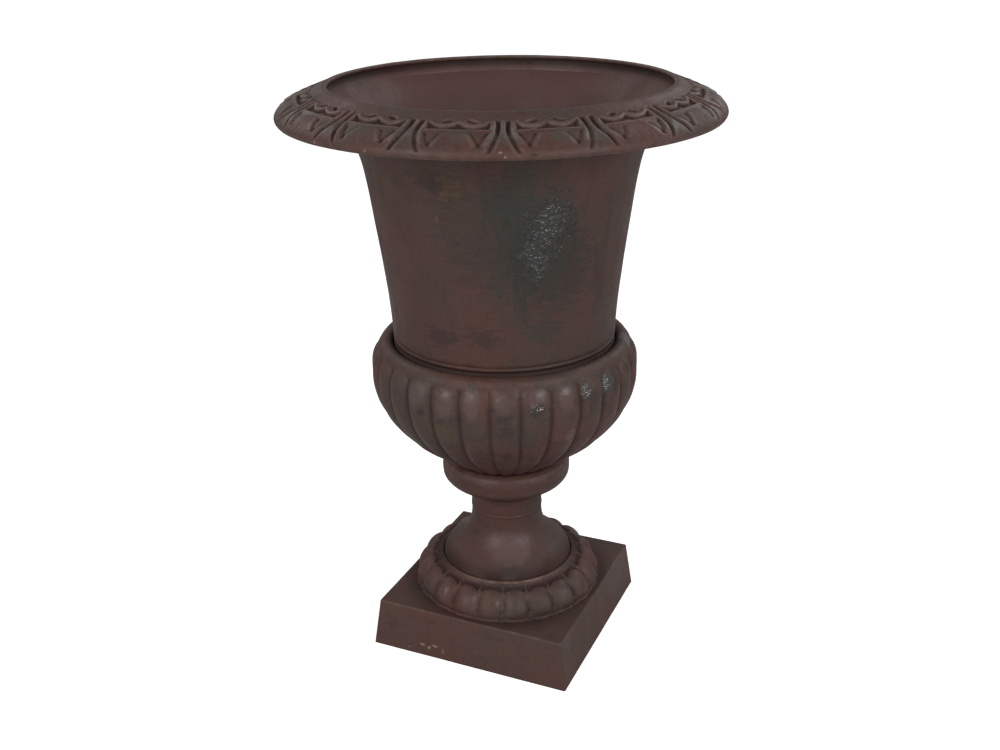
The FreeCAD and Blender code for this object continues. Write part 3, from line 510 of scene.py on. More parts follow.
# %% The collar and the bell
collar_side = smooth_run([(39.8, 164), (40.6, 169.3), (43.6, 173), (50.4, 176.6), (59, 180.8), (66.3, 185.6),
    (70.1, 190.8), (71, 197.5), (70.8, 204.2), (68.6, 209.6), (64.5, 212.6)], 44)
collar_outline = divided(eased([
    [(30, 146, 0.5), (34.6, 146, 0.5), (34.6, 150, 0.3), (39.75, 150, 0.05)],
    collar_side,
    [(61.5, 213, 0.8), (42, 213, 0.5), (42, 216, 0.5), (30, 216, 0.5)],
]), 4)
collar = skin_piece("collar", cast_skin(turned(collar_outline, 240), 0.4, 41, JOINT_NECK), 2, 3, 0.6)
settle(collar, "knop_collar")

bell_side = smooth_run([(73, 86.4), (72.2, 91.2), (69.3, 97), (63.6, 103.5), (55.8, 109.8), (48.8, 116.2),
    (43.9, 123.4), (41, 131), (39.9, 139), (39.6, 145.4), (39.7, 147.6), (40.15, 148.9),
    (39.95, 149.8)], 60)
bell_outline = divided(eased([
    [(62, 78, 0.5), (73, 78, 0.6)],
    bell_side,
    [(39.75, 150, 0.05), (34.9, 150, 0.3), (34.9, 145.7, 0.3), (30, 145.7, 0.5), (30, 131, 4), (44, 112, 5),
     (62, 92, 4), (65.5, 85, 1), (62, 85, 0.5)],
]), 4)
bell_grid = cast_skin(turned(bell_outline, 240), 0.45, 43, JOINT_NECK)
# The bell is darker towards its foot, in uneven patches, through the dark fill.
bell_darker_low = 0.62 * inside(bell_grid[..., 2] - 101, 20) * (1 + 0.5 * humps(bell_grid, 15, 45))
bell = skin_piece("bell", bell_grid, 2, 3, 0.6, dirt_and_shade=bell_darker_low)
settle(bell, "bell_foot")

# %% [markdown]
# ## The lobed ring
# Twenty-one upright cushions round a thin collar edge. Each cushion's top is scooped out just below that
# edge, so the lines between them stand up there as fine ridges, and at the bottom they run into a thin
# scalloped flange.

# %% The ring's skin
def ring_lobes(s, t, half):
    """Height of the ring's cushions: gadroons with a scoop at the inner top and a thin rib in each valley."""
    depth = np.interp(s, (0, 3, 8, 14, 30, 40, 47, 52, 60), (0.2, 1.8, 4.2, 5.2, 6.6, 5.8, 3.2, 1.2, 0.9))
    height = gadroons(s, t / 0.93, 5.5, 17, 38, 62, depth)
    rib = np.exp(-((1 - t) * half / 1.7) ** 2)
    return height + rib * np.interp(s, (0, 3, 8, 14, 22, 34, 46), (0.3, 1.5, 2.9, 3, 1.6, 0.6, 0))


RING_LOBES = 21
RING_COLUMNS = RING_LOBES * 36
ring_side = smooth_run([(76.4, 87.6), (79.6, 86.9), (84.8, 86.3), (90.4, 84.4), (96, 80.6), (100.6, 75.4),
    (103.8, 69.2), (105.1, 63.6), (104.7, 59.2)], 56)
ring_outline = divided(eased([
    [(73.3, 78, 0.3), (73.3, 89, 0.6), (75.6, 89, 0.8), (75.9, 87.9, 0.4)],
    ring_side,
    [(104.2, 57.6, 0.4), (105.6, 57.2, 0.5), (105.6, 55, 0.4), (62, 55, 0.4), (62, 78, 0.4)],
]), 5)
ring_place = slope_lengths(ring_outline, (76.2, 87.6))[:, None]
ring_round = inside(np.maximum(-0.4 - ring_place, ring_place - 59), 1)
ring_half = math.pi * ring_outline[:, :1] / RING_LOBES
plain_ring = turned(ring_outline, RING_COLUMNS)
ring_share = lobe_share(azimuths(RING_COLUMNS) + 0.6 * humps(plain_ring, 20, 52), RING_LOBES, 2.9)
cushions = ring_lobes(ring_place + 0.9 * humps(plain_ring, 9, 54), ring_share, ring_half) * ring_round
cushions *= 1 + 0.15 * humps(plain_ring, 25, 53)
# Painted shade in the scoops below the collar edge, deepest where the cushions sink.
scoop_shade = inside(np.abs(ring_place - 7) - 4.5, 4) * np.clip(-cushions / 3, 0, 1)
# facing is 1 on the front, towards the camera and the main lamps, and 0 at the back.
facing = 0.5 + 0.5 * np.cos(np.radians(azimuths(RING_COLUMNS) - 30))
# Painted highlight: the collar edge is made lighter through the rubbed mark, most on the front.
edge = inside(np.abs(ring_place + 0.6) - 1.4, 1) * facing ** 3
# Painted shade: the ring's inner top is darkened towards the sides and the back.
inner_top_shade = inside(np.abs(ring_place + 1) - 8, 5) * np.clip(1.9 * (1 - facing), 0, 1)
ring_grid = cast_skin(turned(ring_outline, RING_COLUMNS, cushions), 0.4, 51)
ring = skin_piece("ring", ring_grid, 2, 3, 1.8, rubbed_and_highlit=0.9 * edge,
                  dirt_and_shade=np.maximum(0.75 * scoop_shade, 0.7 * inner_top_shade))
settle(ring, "lobed_ring")

# %% [markdown]
# ## The square plinth
# A hollow box with sloping sides. An outline is carried round as for turned pieces, but its reach is
# stretched towards the corners, from not at all in the round boss to fully at the walls.

# %% The plinth's skin
def square_plan(per_side, corner, half):
    """Unit reach and direction round a square with rounded corners, evenly spaced along its sides."""
    flat = half - corner
    share = int(per_side * 0.82)
    bend = np.linspace(0, math.pi / 2, per_side - share + 2)[1:-1]
    side = np.vstack([np.stack([np.full(share, half), np.linspace(-flat, flat, share)], -1),
                      flat + corner * np.stack([np.cos(bend), np.sin(bend)], -1)])
    return np.vstack([side @ [[c, s], [-s, c]] for c, s in ((1, 0), (0, 1), (-1, 0), (0, -1))]) / half


plinth_outline = divided(eased([
    [(7, 55, 0.3), (109.65, 55, 1.3), (116.3, 0, 0.7), (109.8, 0, 0.7), (104, 48.5, 5), (25, 48.5, 1.5),
     (25, 42.5, 0.8), (7, 42.5, 0.3)],
]), 3)
plan = square_plan(64, 1.8, 113)
circle = plan / reach_of(plan)[:, None]
reach, rise = plinth_outline[:, 0, None, None], plinth_outline[:, 1, None, None]
square = np.clip((reach - 30) / 60, 0, 1) ** 1.5
flat_plan = reach * (square * plan + (1 - square) * circle)
rise = np.broadcast_to(rise, flat_plan.shape[:2] + (1,))
plinth_grid = cast_skin(np.concatenate([flat_plan, rise], -1), 0.35, 61)
# Painted shade on the plinth's top under the urn, strongest next to the ring.
plinth_top_shade = inside(53.8 - plinth_grid[..., 2], 1) * (0.26 + 0.2 * inside(reach_of(plinth_grid) - 118, 24))
plinth = skin_piece("plinth", plinth_grid, 1, 1, 0.12, dirt_and_shade=plinth_top_shade)
drill(plinth, round_circle(43, 4), 15, 35, 65)
settle(plinth, "square_plinth")

# %% [markdown]
# ## Rod, nuts, washers and screws
# The steel that holds the stack together. Threads and chamfered hexagons are also grids: the thread is a
# triangle wave that climbs with the angle, and a nut is the smaller of a hexagon's reach and a cone's.

# %% Turned steel
BARE = 0.02


def carried_round(first, reach, height, last):
    """Level rings of (reach, height), then rows with a reach at every column, then level rings again. A point
    is (reach cos a, reach sin a, height)."""
    columns = reach.shape[1]
    before, after = (np.broadcast_to(np.array(part)[:, None], (len(part), columns, 2))
                     for part in (first, last))
    between = np.stack([reach, np.broadcast_to(height, reach.shape)], -1)
    reach, height = np.moveaxis(np.concatenate([before, between, after]), -1, 0)
    turn = np.linspace(0, 2 * math.pi, columns, endpoint=False)
    return np.stack([reach * np.cos(turn), reach * np.sin(turn), height], -1)


def thread_rod(radius, low, high, pitch, columns=24):
    """A threaded rod: the radius dips by 0.54 pitch times a triangle wave of z / pitch - angle."""
    z = np.linspace(low + 0.8, high - 0.8, int((high - low) / pitch * 6))[:, None]
    wave = np.abs(((z / pitch - np.arange(columns) / columns) % 1) * 2 - 1)
    reach = radius - 0.54 * pitch * wave * np.clip(np.minimum(z - low, high - z) / 2, 0.2, 1)
    return carried_round([(BARE, high), (radius - 1.6, high), (radius - 1, high - 0.5)], reach[::-1], z[::-1],
                         [(radius - 1, low + 0.5), (radius - 1.6, low), (BARE, low)])


def hexagon(width, hole, low, high, columns=72):
    """A hexagon nut, or a head when its hole is bare: reach = min(flat / cos(a), cone)."""
    flat = width / 2
    angle = np.linspace(0, 2 * math.pi, columns, endpoint=False)
    side = flat / np.cos((angle + math.pi / 6) % (math.pi / 3) - math.pi / 6)
    steps = np.array([0, 0.16, 0.32, 0.5, 0.7, 0.9, 1.2, 1.6])
    edge = np.concatenate([low + steps, high - steps[::-1]])[:, None]
    cone = flat - 0.35 + np.minimum(edge - low, high - edge) * 1.75
    reach = np.minimum(side, np.minimum(cone, flat / math.cos(math.pi / 6) - 0.25))
    middle = (hole + flat) / 2
    return carried_round([(hole, low), (middle, low)], reach, edge, [(middle, high), (hole, high)])


def disc(radius, hole, low, high, columns, inner=0.25):
    """A flat washer with softly stamped edges, or a plain bar when its hole is bare."""
    corners = [(hole, low, inner), (radius, low, 0.4), (radius, high, 0.4), (hole, high, inner)]
    return turned(eased([corners]), columns)


def gather(name, grids):
    """Several closed grids as one piece."""
    points, faces, marks, count = [], [], [], 0
    for grid in grids:
        flat, quads = grid.reshape(-1, 3), skin_faces(*grid.shape[:2])
        points.append(flat)
        faces.append(count + (quads if volume_of(flat, quads) > 0 else quads[:, ::-1]))
        marks.append(np.reshape(wear_marks(grid, 1, 1, 0.5), (2, -1)))
        count += len(flat)
    return make_mesh(name, np.vstack(points), np.vstack(faces), *np.hstack(marks))


def around_axis(grid, radius, count, twist=0):
    """Copies of a grid that stands on the axis, moved out to a circle and turned with it."""
    copies = []
    for angle, (x, y) in zip(np.arange(count) * 2 * math.pi / count, round_circle(radius, count)):
        c, s = math.cos(angle + twist), math.sin(angle + twist)
        copies.append(grid @ np.array([[c, s, 0], [-s, c, 0], [0, 0, 1]]) + np.array([x, y, 0]))
    return copies


# %% The tie rod and its clamps
def span(node):
    """Lowest and highest height of a node in millimetres."""
    low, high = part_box(node)
    return low.z / MM, high.z / MM


steel_pieces = {"tie_rod": gather("rod", [thread_rod(6, *span("tie_rod"), 1.75)])}
for node in ("top_washer", "bottom_washer"):
    steel_pieces[node] = gather(node + "_skin", [disc(18.5, 7, *span(node), 48)])
for node in ("top_nut", "bottom_nut", "lock_nut"):
    steel_pieces[node] = gather(node + "_skin", [hexagon(18, 6.1, *span(node))])

# %% The screws of rim and seat
for prefix, radius, count, below in (("rim", 180.5, 8, True), ("seat", 101.5, 6, False)):
    low, high = span(prefix + "_screws")
    head = (low, low + 4) if below else (high - 4, high)
    bar = (head[1] - 0.2, high) if below else (low, head[0] + 0.2)
    screw = [hexagon(10, BARE, *head), disc(3, BARE, *bar, 20, 0)]
    grids = [copy for part in screw for copy in around_axis(part, radius, count, 0.2)]
    steel_pieces[prefix + "_screws"] = gather(prefix + "_screws_skin", grids)
    washer = disc(6, 3.3, *span(prefix + "_washers"), 32)
    steel_pieces[prefix + "_washers"] = gather(prefix + "_washers_skin", around_axis(washer, radius, count))
for node, piece in steel_pieces.items():
    settle(piece, node)

# %% [markdown]
# ## The finish, in reusable groups
# The iron is browned with rust and then lightly waxed: red-brown, ochre and grey-green clouds, a fine sandy
# grain, darker dirt in every groove, with painted shade in some, and a faint shine on what is often touched,
# with painted highlights on some edges and lobes. Each of these effects is a node group, so the same clouds
# serve every casting, and the grain the steel too.

# %% Wiring helper
class Wiring:
    """Adds nodes to one tree and feeds their sockets with numbers, colours or other sockets."""

    def __init__(self, tree):
        self.tree = tree

    def feed(self, socket, value):
        if isinstance(value, bpy.types.NodeSocket):
            self.tree.links.new(value, socket)
        else:
            socket.default_value = value

    def node(self, kind, inputs=(), **settings):
        """A node with its settings, whose inputs are fed by name or by number."""
        made = self.tree.nodes.new(kind)
        for name, value in settings.items():
            setattr(made, name, value)
        for name, value in dict(inputs).items():
            self.feed(made.inputs[name], value)
        return made

    def math(self, operation, *values):
        return self.node("ShaderNodeMath", enumerate(values), operation=operation).outputs[0]

    def times(self, *values):
        return self.math("MULTIPLY", *values)

    def plus(self, *values):
        return self.math("ADD", *values)

    def minus(self, *values):
        return self.math("SUBTRACT", *values)

    def vector(self, operation, *values):
        made = self.node("ShaderNodeVectorMath", enumerate(values), operation=operation)
        return made.outputs["Value" if operation == "LENGTH" else "Vector"]

    def fade(self, value, start, end, low=0, high=1):
        """A smooth step of a value from start to end, giving low to high."""
        ends = {"Value": value, "From Min": start, "From Max": end, "To Min": low, "To Max": high}
        return self.node("ShaderNodeMapRange", ends, interpolation_type="SMOOTHSTEP").outputs[0]

    def blend(self, share, first, second):
        return self.node("ShaderNodeMix", {0: share, 6: first, 7: second}, data_type="RGBA").outputs[2]

    def noise(self, place, scale, detail=3, roughness=0.55, stretch=None):
        if stretch:
            place = self.node("ShaderNodeMapping", {"Vector": place, "Scale": stretch}).outputs[0]
        values = {"Vector": place, "Scale": scale, "Detail": detail, "Roughness": roughness}
        return self.node("ShaderNodeTexNoise", values).outputs["Fac"]

    def place(self):
        return self.node("ShaderNodeTexCoord").outputs["Object"]

    def mark(self, name):
        return self.node("ShaderNodeAttribute", attribute_name=name).outputs["Fac"]


def new_group(name, inputs, outputs):
    """An empty shader group with named sockets; gives the group, its wiring, its inputs and its outputs."""
    group = bpy.data.node_groups.new(name, "ShaderNodeTree")
    for label, kind, default in inputs:
        socket = group.interface.new_socket(label, in_out="INPUT", socket_type="NodeSocket" + kind)
        socket.default_value = default
    for label, kind in outputs:
        group.interface.new_socket(label, in_out="OUTPUT", socket_type="NodeSocket" + kind)
    w = Wiring(group)
    return group, w, w.node("NodeGroupInput").outputs, w.node("NodeGroupOutput").inputs


def count_nodes(group):
    print("group", group.name, len(group.nodes), "nodes")


# %% [markdown]
# ### Rust clouds
# Three sizes of noise carry the browns: wide clouds of red and grey, hand-sized ochre blooms and fine specks.
# The clouds are drawn out sideways a little, because the colour was wiped on round the urn.

# %% The rust_clouds group
BROWNS = {"Red": (0.067, 0.0275, 0.022), "Grey": (0.051, 0.03, 0.0245), "Ochre": (0.07, 0.0355, 0.022)}
CLOUDS, w, take, give = new_group("rust_clouds", [
    *((label, "Color", brown + (1,)) for label, brown in BROWNS.items()),
    ("Black", "Color", (0.018, 0.018, 0.015, 1)),
    ("Contrast", "Float", 1),
], [("Colour", "Color")])
where = w.place()
wide = w.noise(where, 9, 4, 0.6, (1, 1, 0.75))
wiped = w.noise(where, 40, 6, 0.68, (0.8, 0.8, 1.9))
strokes = w.noise(where, 75, 5, 0.65, (1, 1, 0.28))
bloom = w.noise(where, 17, 3, 0.5, (1, 1, 1.15))
fine = w.noise(where, 420, 3, 0.7)
share = w.math("MULTIPLY_ADD", w.minus(w.fade(wide, 0.4, 0.62), 0.5), take["Contrast"], 0.5)
colour = w.blend(share, take["Red"], take["Grey"])
blooms = w.times(w.fade(bloom, 0.56, 0.7), w.times(take["Contrast"], 0.5))
colour = w.blend(blooms, colour, take["Ochre"])
smear = w.times(w.plus(w.fade(wiped, 0.52, 0.7), w.fade(strokes, 0.52, 0.72, 0, 0.7)), take["Contrast"])
colour = w.blend(w.times(smear, 0.5), colour, take["Black"])
speck = w.fade(fine, 0.3, 0.75, 0.87, 1.12)
shade = w.node("ShaderNodeVectorMath", {0: colour, "Scale": speck}, operation="SCALE")
w.feed(give["Colour"], shade.outputs[0])
count_nodes(CLOUDS)

# %% [markdown]
# ### Cast grain
# Sand leaves pimples under a millimetre across and softer ripples a few millimetres wide. The group gives one
# height for a Bump node.

# %% The cast_grain group
PIMPLE_SHARE, SCAR_SHARE = 0.35, 0.25
GRAIN, w, take, give = new_group("cast_grain", [], [("Height", "Float")])
where = w.place()
pimples = w.noise(where, 620, 2, 0.6)
ripples = w.noise(where, 120, 3, 0.55, (1, 1, 0.7))
scars = w.fade(w.noise(where, 210, 2, 0.5, (0.5, 0.5, 1.8)), 0.62, 0.74)
height = w.plus(w.times(pimples, PIMPLE_SHARE), ripples)
w.feed(give["Height"], w.minus(height, w.times(scars, SCAR_SHARE)))
count_nodes(GRAIN)

# %% [markdown]
# ### Wear, dirt and painted light
# The marks stored on the meshes come alive here: hollows fill with dark dirt, and crests are rubbed to a
# paler, warmer brown in broken patches. The same dark mix paints shade, and the same pale mix paints
# highlights, where a piece raised its marks for them.

# %% The wear_dirt_and_painted_light group
WEAR_DIRT_AND_PAINTED_LIGHT, w, take, give = new_group("wear_dirt_and_painted_light", [
    ("Colour", "Color", (0.06, 0.03, 0.025, 1)),
    ("Rubbed", "Color", (0.125, 0.078, 0.062, 1)),
    ("DirtAndShade", "Color", (0.02, 0.008, 0.006, 1)),
    ("Rub", "Float", 0.6),
    ("Fill", "Float", 0.85),
], [("Colour", "Color"), ("Rubbed", "Float"), ("DirtAndShadeShare", "Float")])
broken = w.fade(w.noise(w.place(), 95, 3, 0.6), 0.35, 0.6, 0.35, 1)
# The pale mix carries wear and painted highlights; the dark mix carries dirt and painted shade.
rubbed_and_highlit = w.times(w.times(w.fade(w.mark("crest"), 0.12, 0.9), broken), take["Rub"])
dirt_and_shade = w.times(w.fade(w.mark("hollow"), 0.05, 0.75), take["Fill"])
colour = w.blend(rubbed_and_highlit, take["Colour"], take["Rubbed"])
w.feed(give["Colour"], w.blend(dirt_and_shade, colour, take["DirtAndShade"]))
w.feed(give["Rubbed"], rubbed_and_highlit)
w.feed(give["DirtAndShadeShare"], dirt_and_shade)
count_nodes(WEAR_DIRT_AND_PAINTED_LIGHT)

# %% [markdown]
# ### Soft spots
# Some marks are single ones: a shiny black patch on the body, ochre and greenish smears beside it, chips low
# on the plinth, painted highlights on the lobes and the bell, and a painted sheen on the bowl's shoulder.
# Each is an oval round a point on the object, whose edge is torn by noise.

# %% The soft_spot group
SPOT, w, take, give = new_group("soft_spot", [
    ("Centre", "Vector", (0, 0, 0)),
    ("Size", "Vector", (0.02, 0.02, 0.02)),
    ("Torn", "Float", 0.6),
    ("Detail Size", "Float", 70),
    ("Stretch", "Vector", (1, 1, 0.45)),
], [("Mask", "Float")])
offset = w.vector("SUBTRACT", w.place(), take["Centre"])
distance = w.vector("LENGTH", w.vector("DIVIDE", offset, take["Size"]))
torn = w.noise(w.vector("MULTIPLY", w.place(), take["Stretch"]), take["Detail Size"], 5, 0.68)
tear = w.times(w.minus(torn, 0.5), w.times(take["Torn"], 4))
w.feed(give["Mask"], w.fade(w.plus(distance, tear), 1.25, 0.55))
count_nodes(SPOT)

# %% [markdown]
# ## Materials
# The castings share one recipe: clouds, then wear, dirt and painted light, then spots, some of them painted
# highlights, then grain, with roughness taken from the same masks so that dirt and painted shade are dull
# and rubbed places shine. Spots are listed in millimetres where they sit.

# %% The iron recipe
LINING = (0.083, 0.038, 0.034, 1)
# The lighter colour painted on glint spots as a highlight.
PAINTED_HIGHLIGHT = (0.096, 0.061, 0.058, 1)
WAX_SHARE, WAX_GLOSS, WAX_CRACKLE = 0.75, 0.4, 4.6


def use_group(w, group, **values):
    """Places a group in a material, feeding its inputs by name."""
    inputs = {label.replace("_", " "): value for label, value in values.items()}
    return w.node("ShaderNodeGroup", inputs, node_tree=group).outputs


def spot_mask(w, azimuth, radius, height, size, torn=0.6, detail=70, stretch=(1, 0.45)):
    """Mask of one spot at an azimuth, radius and height in millimetres. Its half sizes are (wide, tall) or
    (wide, deep, tall), and its torn edge is drawn out by (across, upright)."""
    turn = math.radians(azimuth)
    centre = (radius * MM * math.sin(turn), -radius * MM * math.cos(turn), height * MM)
    half = [v * MM for v in (size[0], size[-2], size[-1])]
    across, upright = stretch
    return use_group(w, SPOT, Centre=centre, Size=half, Torn=torn, Detail_Size=detail,
                     Stretch=(across, across, upright))["Mask"]


def new_material(name):
    """A material, its wiring and its shader."""
    material = bpy.data.materials.new(name)
    material.use_nodes = True
    return material, Wiring(material.node_tree), material.node_tree.nodes["Principled BSDF"]


def emboss(w, shader, height, strength, distance):
    """Lets a height tilt the shader's normal."""
    bump = w.node("ShaderNodeBump", {"Strength": strength, "Distance": distance, "Height": height})
    w.feed(shader.inputs["Normal"], bump.outputs[0])


def iron(name, pieces, smears=(), wax=(), glints_with_painted_highlight=(), rub_and_highlight=0.6, dirt_and_shade_fill=0.85, contrast=1, tone=1,
         black=0.05, polish=0.2):
    """Browned cast iron for some pieces. Smears are spots with a paint and a strength, wax is a list of spots
    of shiny blacking, as grey as black says, and the glint spots are polished and painted lighter as
    highlights. Tone scales the browns."""
    material, w, shader = new_material("browned_iron_" + name)
    browns = {label: [v * tone for v in brown] + [1] for label, brown in BROWNS.items()}
    clouds = use_group(w, CLOUDS, Contrast=contrast, **browns)
    worn = use_group(w, WEAR_DIRT_AND_PAINTED_LIGHT, Colour=clouds["Colour"], Rub=rub_and_highlight, Fill=dirt_and_shade_fill)
    redder = w.times(w.mark("lining"), w.minus(0.62, worn["DirtAndShadeShare"]))
    colour = w.blend(redder, worn["Colour"], LINING)
    for spot, paint, strength in smears:
        colour = w.blend(w.times(spot_mask(w, *spot), strength), colour, paint)
    cloudy = w.noise(w.place(), 26, 4, 0.6, (1, 1, 0.6))
    rough = w.minus(w.fade(cloudy, 0.35, 0.68, 0.5, 0.66), w.times(worn["Rubbed"], 0.1))
    rough = w.plus(rough, w.times(worn["DirtAndShadeShare"], 0.22))
    height = use_group(w, GRAIN)["Height"]
    if wax:
        patch = spot_mask(w, *wax[0])
        for spot in wax[1:]:
            patch = w.math("MAXIMUM", patch, spot_mask(w, *spot))
        covered = w.times(patch, WAX_SHARE)
        colour = w.blend(covered, colour, (black, black, black, 1))
        w.feed(shader.inputs["Metallic"], covered)
        rough = w.minus(rough, w.times(patch, WAX_GLOSS))
        crackle = w.noise(w.place(), 290, 2, 0.6, (0.6, 0.6, 1))
        height = w.plus(height, w.times(w.times(crackle, patch), WAX_CRACKLE))
    # Painted highlights: each glint spot is glossier and painted lighter.
    for spot in glints_with_painted_highlight:
        painted_highlight_spot = spot_mask(w, *spot)
        colour = w.blend(w.times(painted_highlight_spot, 0.5), colour, PAINTED_HIGHLIGHT)
        rough = w.minus(rough, w.times(painted_highlight_spot, polish))
    w.feed(shader.inputs["Base Color"], colour)
    w.feed(shader.inputs["Roughness"], rough)
    shader.inputs["Specular IOR Level"].default_value = 0.3
    emboss(w, shader, height, 0.65, 0.0009)
    for piece in pieces:
        piece.data.materials.append(material)


# %% Paints and kinds of torn edge
OCHRE, GREEN, SOOT = (0.085, 0.045, 0.02, 1), (0.02, 0.026, 0.02, 1), (0.014, 0.012, 0.011, 1)
PALE, MOSS = (0.2, 0.14, 0.11, 1), (0.052, 0.045, 0.037, 1)
# PAINTED_SHEEN is a light grey painted as a reflection.
UMBER, PAINTED_SHEEN = (0.046, 0.018, 0.014, 1), (0.15, 0.14, 0.14, 1)
EVEN = (1, 1)
RUN_DOWN = (0.9, 150, (1, 0.35))
BRUSHED = (1, 200, (0.35, 1.3))
SCUFFED = (1, 200, (0.4, 1.3))
NOTCHED = (0.9, 240, (0.6, 1.2))
COARSE = (0.9, 120)
FINE = (0.9, 160)
DABBED = (0.8, 160)
CHIPPED = (0.8, 500, EVEN)
WAXED = (170, (1, 0.6))

# %% Iron for each casting
iron("body", [body], smears=[
    ((31, 135, 500, (36, 84), 0.8, 60, (1, 0.4)), GREEN, 0.45),
    ((24.8, 138, 528, (15, 26), *RUN_DOWN), GREEN, 0.6),
    ((33, 130, 468, (17, 52), *RUN_DOWN), SOOT, 0.5),
    ((40, 131, 488, (36, 64), 0.7, 110, (1, 0.4)), GREEN, 0.55),
    ((50, 134, 500, (15, 22), *RUN_DOWN), SOOT, 0.45),
    ((6.3, 141, 543, (20, 14), 1, 90, (1, 0.5)), OCHRE, 0.4),
    ((-3.5, 142, 549, (15, 10), 1, 120, (1, 0.7)), SOOT, 0.45),
    ((-6.7, 120, 389, (20, 10), *BRUSHED), SOOT, 0.5),
    ((14.8, 120, 392, (16, 9), *BRUSHED), SOOT, 0.45),
    ((41.3, 121, 399, (19, 10), *BRUSHED), GREEN, 0.5),
    ((71.8, 127, 455, (12, 50), 0.9, 120, (1, 0.3)), SOOT, 0.4),
    ((52, 129, 458, (30, 44), 1.1, 230, (0.22, 1.7)), SOOT, 0.42),
    ((16, 131, 500, (44, 60), 1.1, 210, (0.25, 1.5)), SOOT, 0.28),
    ((-3, 135, 510, (0.8, 8), 0.3), PALE, 0.22),
    ((196, 133, 480, (26, 44)), GREEN, 0.5),
    ((262, 128, 440, (20, 34)), SOOT, 0.5),
    ((130, 138, 530, (24, 16)), OCHRE, 0.7),
], wax=[(45.5, 134.5, 514, (16, 22), 1.1, *WAXED), (41, 132.5, 498, (18, 26), 1.1, *WAXED),
        (37.5, 130.5, 474, (15, 22), 1.2, *WAXED)], tone=0.94, contrast=0.8, black=0.072)
iron("bowl", [bowl], smears=[
    ((22.8, 143, 318, (9, 8), *SCUFFED), SOOT, 0.45),
    ((23.1, 140, 300, (10, 8), *SCUFFED), SOOT, 0.4),
    ((24.3, 126, 268, (7, 5), *SCUFFED), SOOT, 0.5),
    ((-12, 143, 313, (6, 3), *NOTCHED), SOOT, 0.5),
    ((3, 143, 315, (5, 3), *NOTCHED), SOOT, 0.5),
    ((36, 143, 321, (8, 5), *NOTCHED), SOOT, 0.45),
    ((51.8, 136, 289, (6, 8), *DABBED), PALE, 0.16),
    # Painted sheen: a light grey patch high on the bowl's right side, standing in for a reflection.
    ((106, 131, 350, (12, 7), *DABBED), PAINTED_SHEEN, 0.45),
    ((75, 142, 334, (10, 15), *FINE), SOOT, 0.5),
    ((61, 142, 325, (9, 12), *FINE), SOOT, 0.4),
    ((88, 141, 320, (12, 16), *FINE), GREEN, 0.4),
    ((31, 137, 288, (14, 12), *COARSE), GREEN, 0.4),
    ((-4, 138, 292, (16, 12), *COARSE), OCHRE, 0.3),
    ((140, 141, 305, (16, 14)), SOOT, 0.5),
    ((250, 142, 320, (18, 10)), OCHRE, 0.5),
], wax=[(58.3, 142, 335, (7, 10), 0.6, 130), (70, 141.5, 338, (9, 16), 0.6, 130),
        (36.3, 143, 326, (7, 6), *DABBED), (43, 143, 325, (4, 4), *DABBED)], black=0.09, contrast=1.3,
    glints_with_painted_highlight=[(-15, 142, 331, (9, 15)), (-1.4, 143, 329, (10, 16)), (10.2, 142, 330, (10, 17)),
            (23, 142, 331, (9, 13)), (36.5, 142, 336, (9, 12)), (49, 142, 331, (8, 13)),
            (180, 142, 334, (22, 14)), (290, 142, 334, (24, 14))], dirt_and_shade_fill=0.6)
iron("ring", [ring], rub_and_highlight=0.8, polish=0.3, tone=1.04, glints_with_painted_highlight=[
    (18.6, 99, 78, (5, 9)), (34.8, 101, 76, (6, 9)), (49.8, 101, 75, (5, 9)), (64.8, 102, 74, (5, 9)),
    (-21.9, 101, 76, (6, 9)), (1.5, 101, 75, (6, 10)), (150, 101, 76, (20, 9)), (240, 101, 76, (20, 9))])
iron("stem", [collar, bell], tone=0.9, polish=0.07, smears=[
    ((22, 70, 196, (60, 22), 0.3), UMBER, 0.45), ((26, 66, 96, (9, 5), 0.9, 150, EVEN), SOOT, 0.5),
], glints_with_painted_highlight=[(24, 50, 117, (28, 16), 0.2), (30, 56, 110, (20, 9), 0.25), (200, 55, 114, (24, 14), 0.6)])
iron("plinth", [plinth], tone=1.12, contrast=0.6, smears=[
    ((-25.6, 127, 13, (3.2, 3, 1.3), *CHIPPED), PALE, 1),
    ((-22.4, 124, 10.5, (2, 3, 2.2), *CHIPPED), PALE, 0.9),
    ((-19.3, 121, 14.5, (3.4, 3, 1.2), *CHIPPED), PALE, 0.9),
    ((-14.5, 119, 11, (1.1, 3, 3.8), *CHIPPED), PALE, 0.5),
    ((-32, 135, 6, (1.5, 3, 1), *CHIPPED), PALE, 0.6)])
mossy = (1.7, 14, 24.2, 38, 46.7, 69.2, 84, -12, -20.8, -38, -43.3, 112, 159, 205, 251)
nicked = ((-23.4, 591.5), (-7.5, 591.5), (24.6, 591), (23.6, 595), (-34.9, 596.5))
iron("rim", [rim], tone=0.92, rub_and_highlight=0.75, dirt_and_shade_fill=1, smears=[
    *(((turn, 208, 606, (11, 12), *COARSE, EVEN), MOSS, 0.55) for turn in mossy),
    *(((turn, 222, height, (1.6, 1.2), 0.6, 400, EVEN), PALE, 0.7) for turn, height in nicked),
    ((30.7, 222, 592.5, (4.5, 1.1), 0.5, 400, EVEN), SOOT, 0.8)])
print("iron materials", len([m for m in bpy.data.materials if m.name.startswith("browned_iron")]))

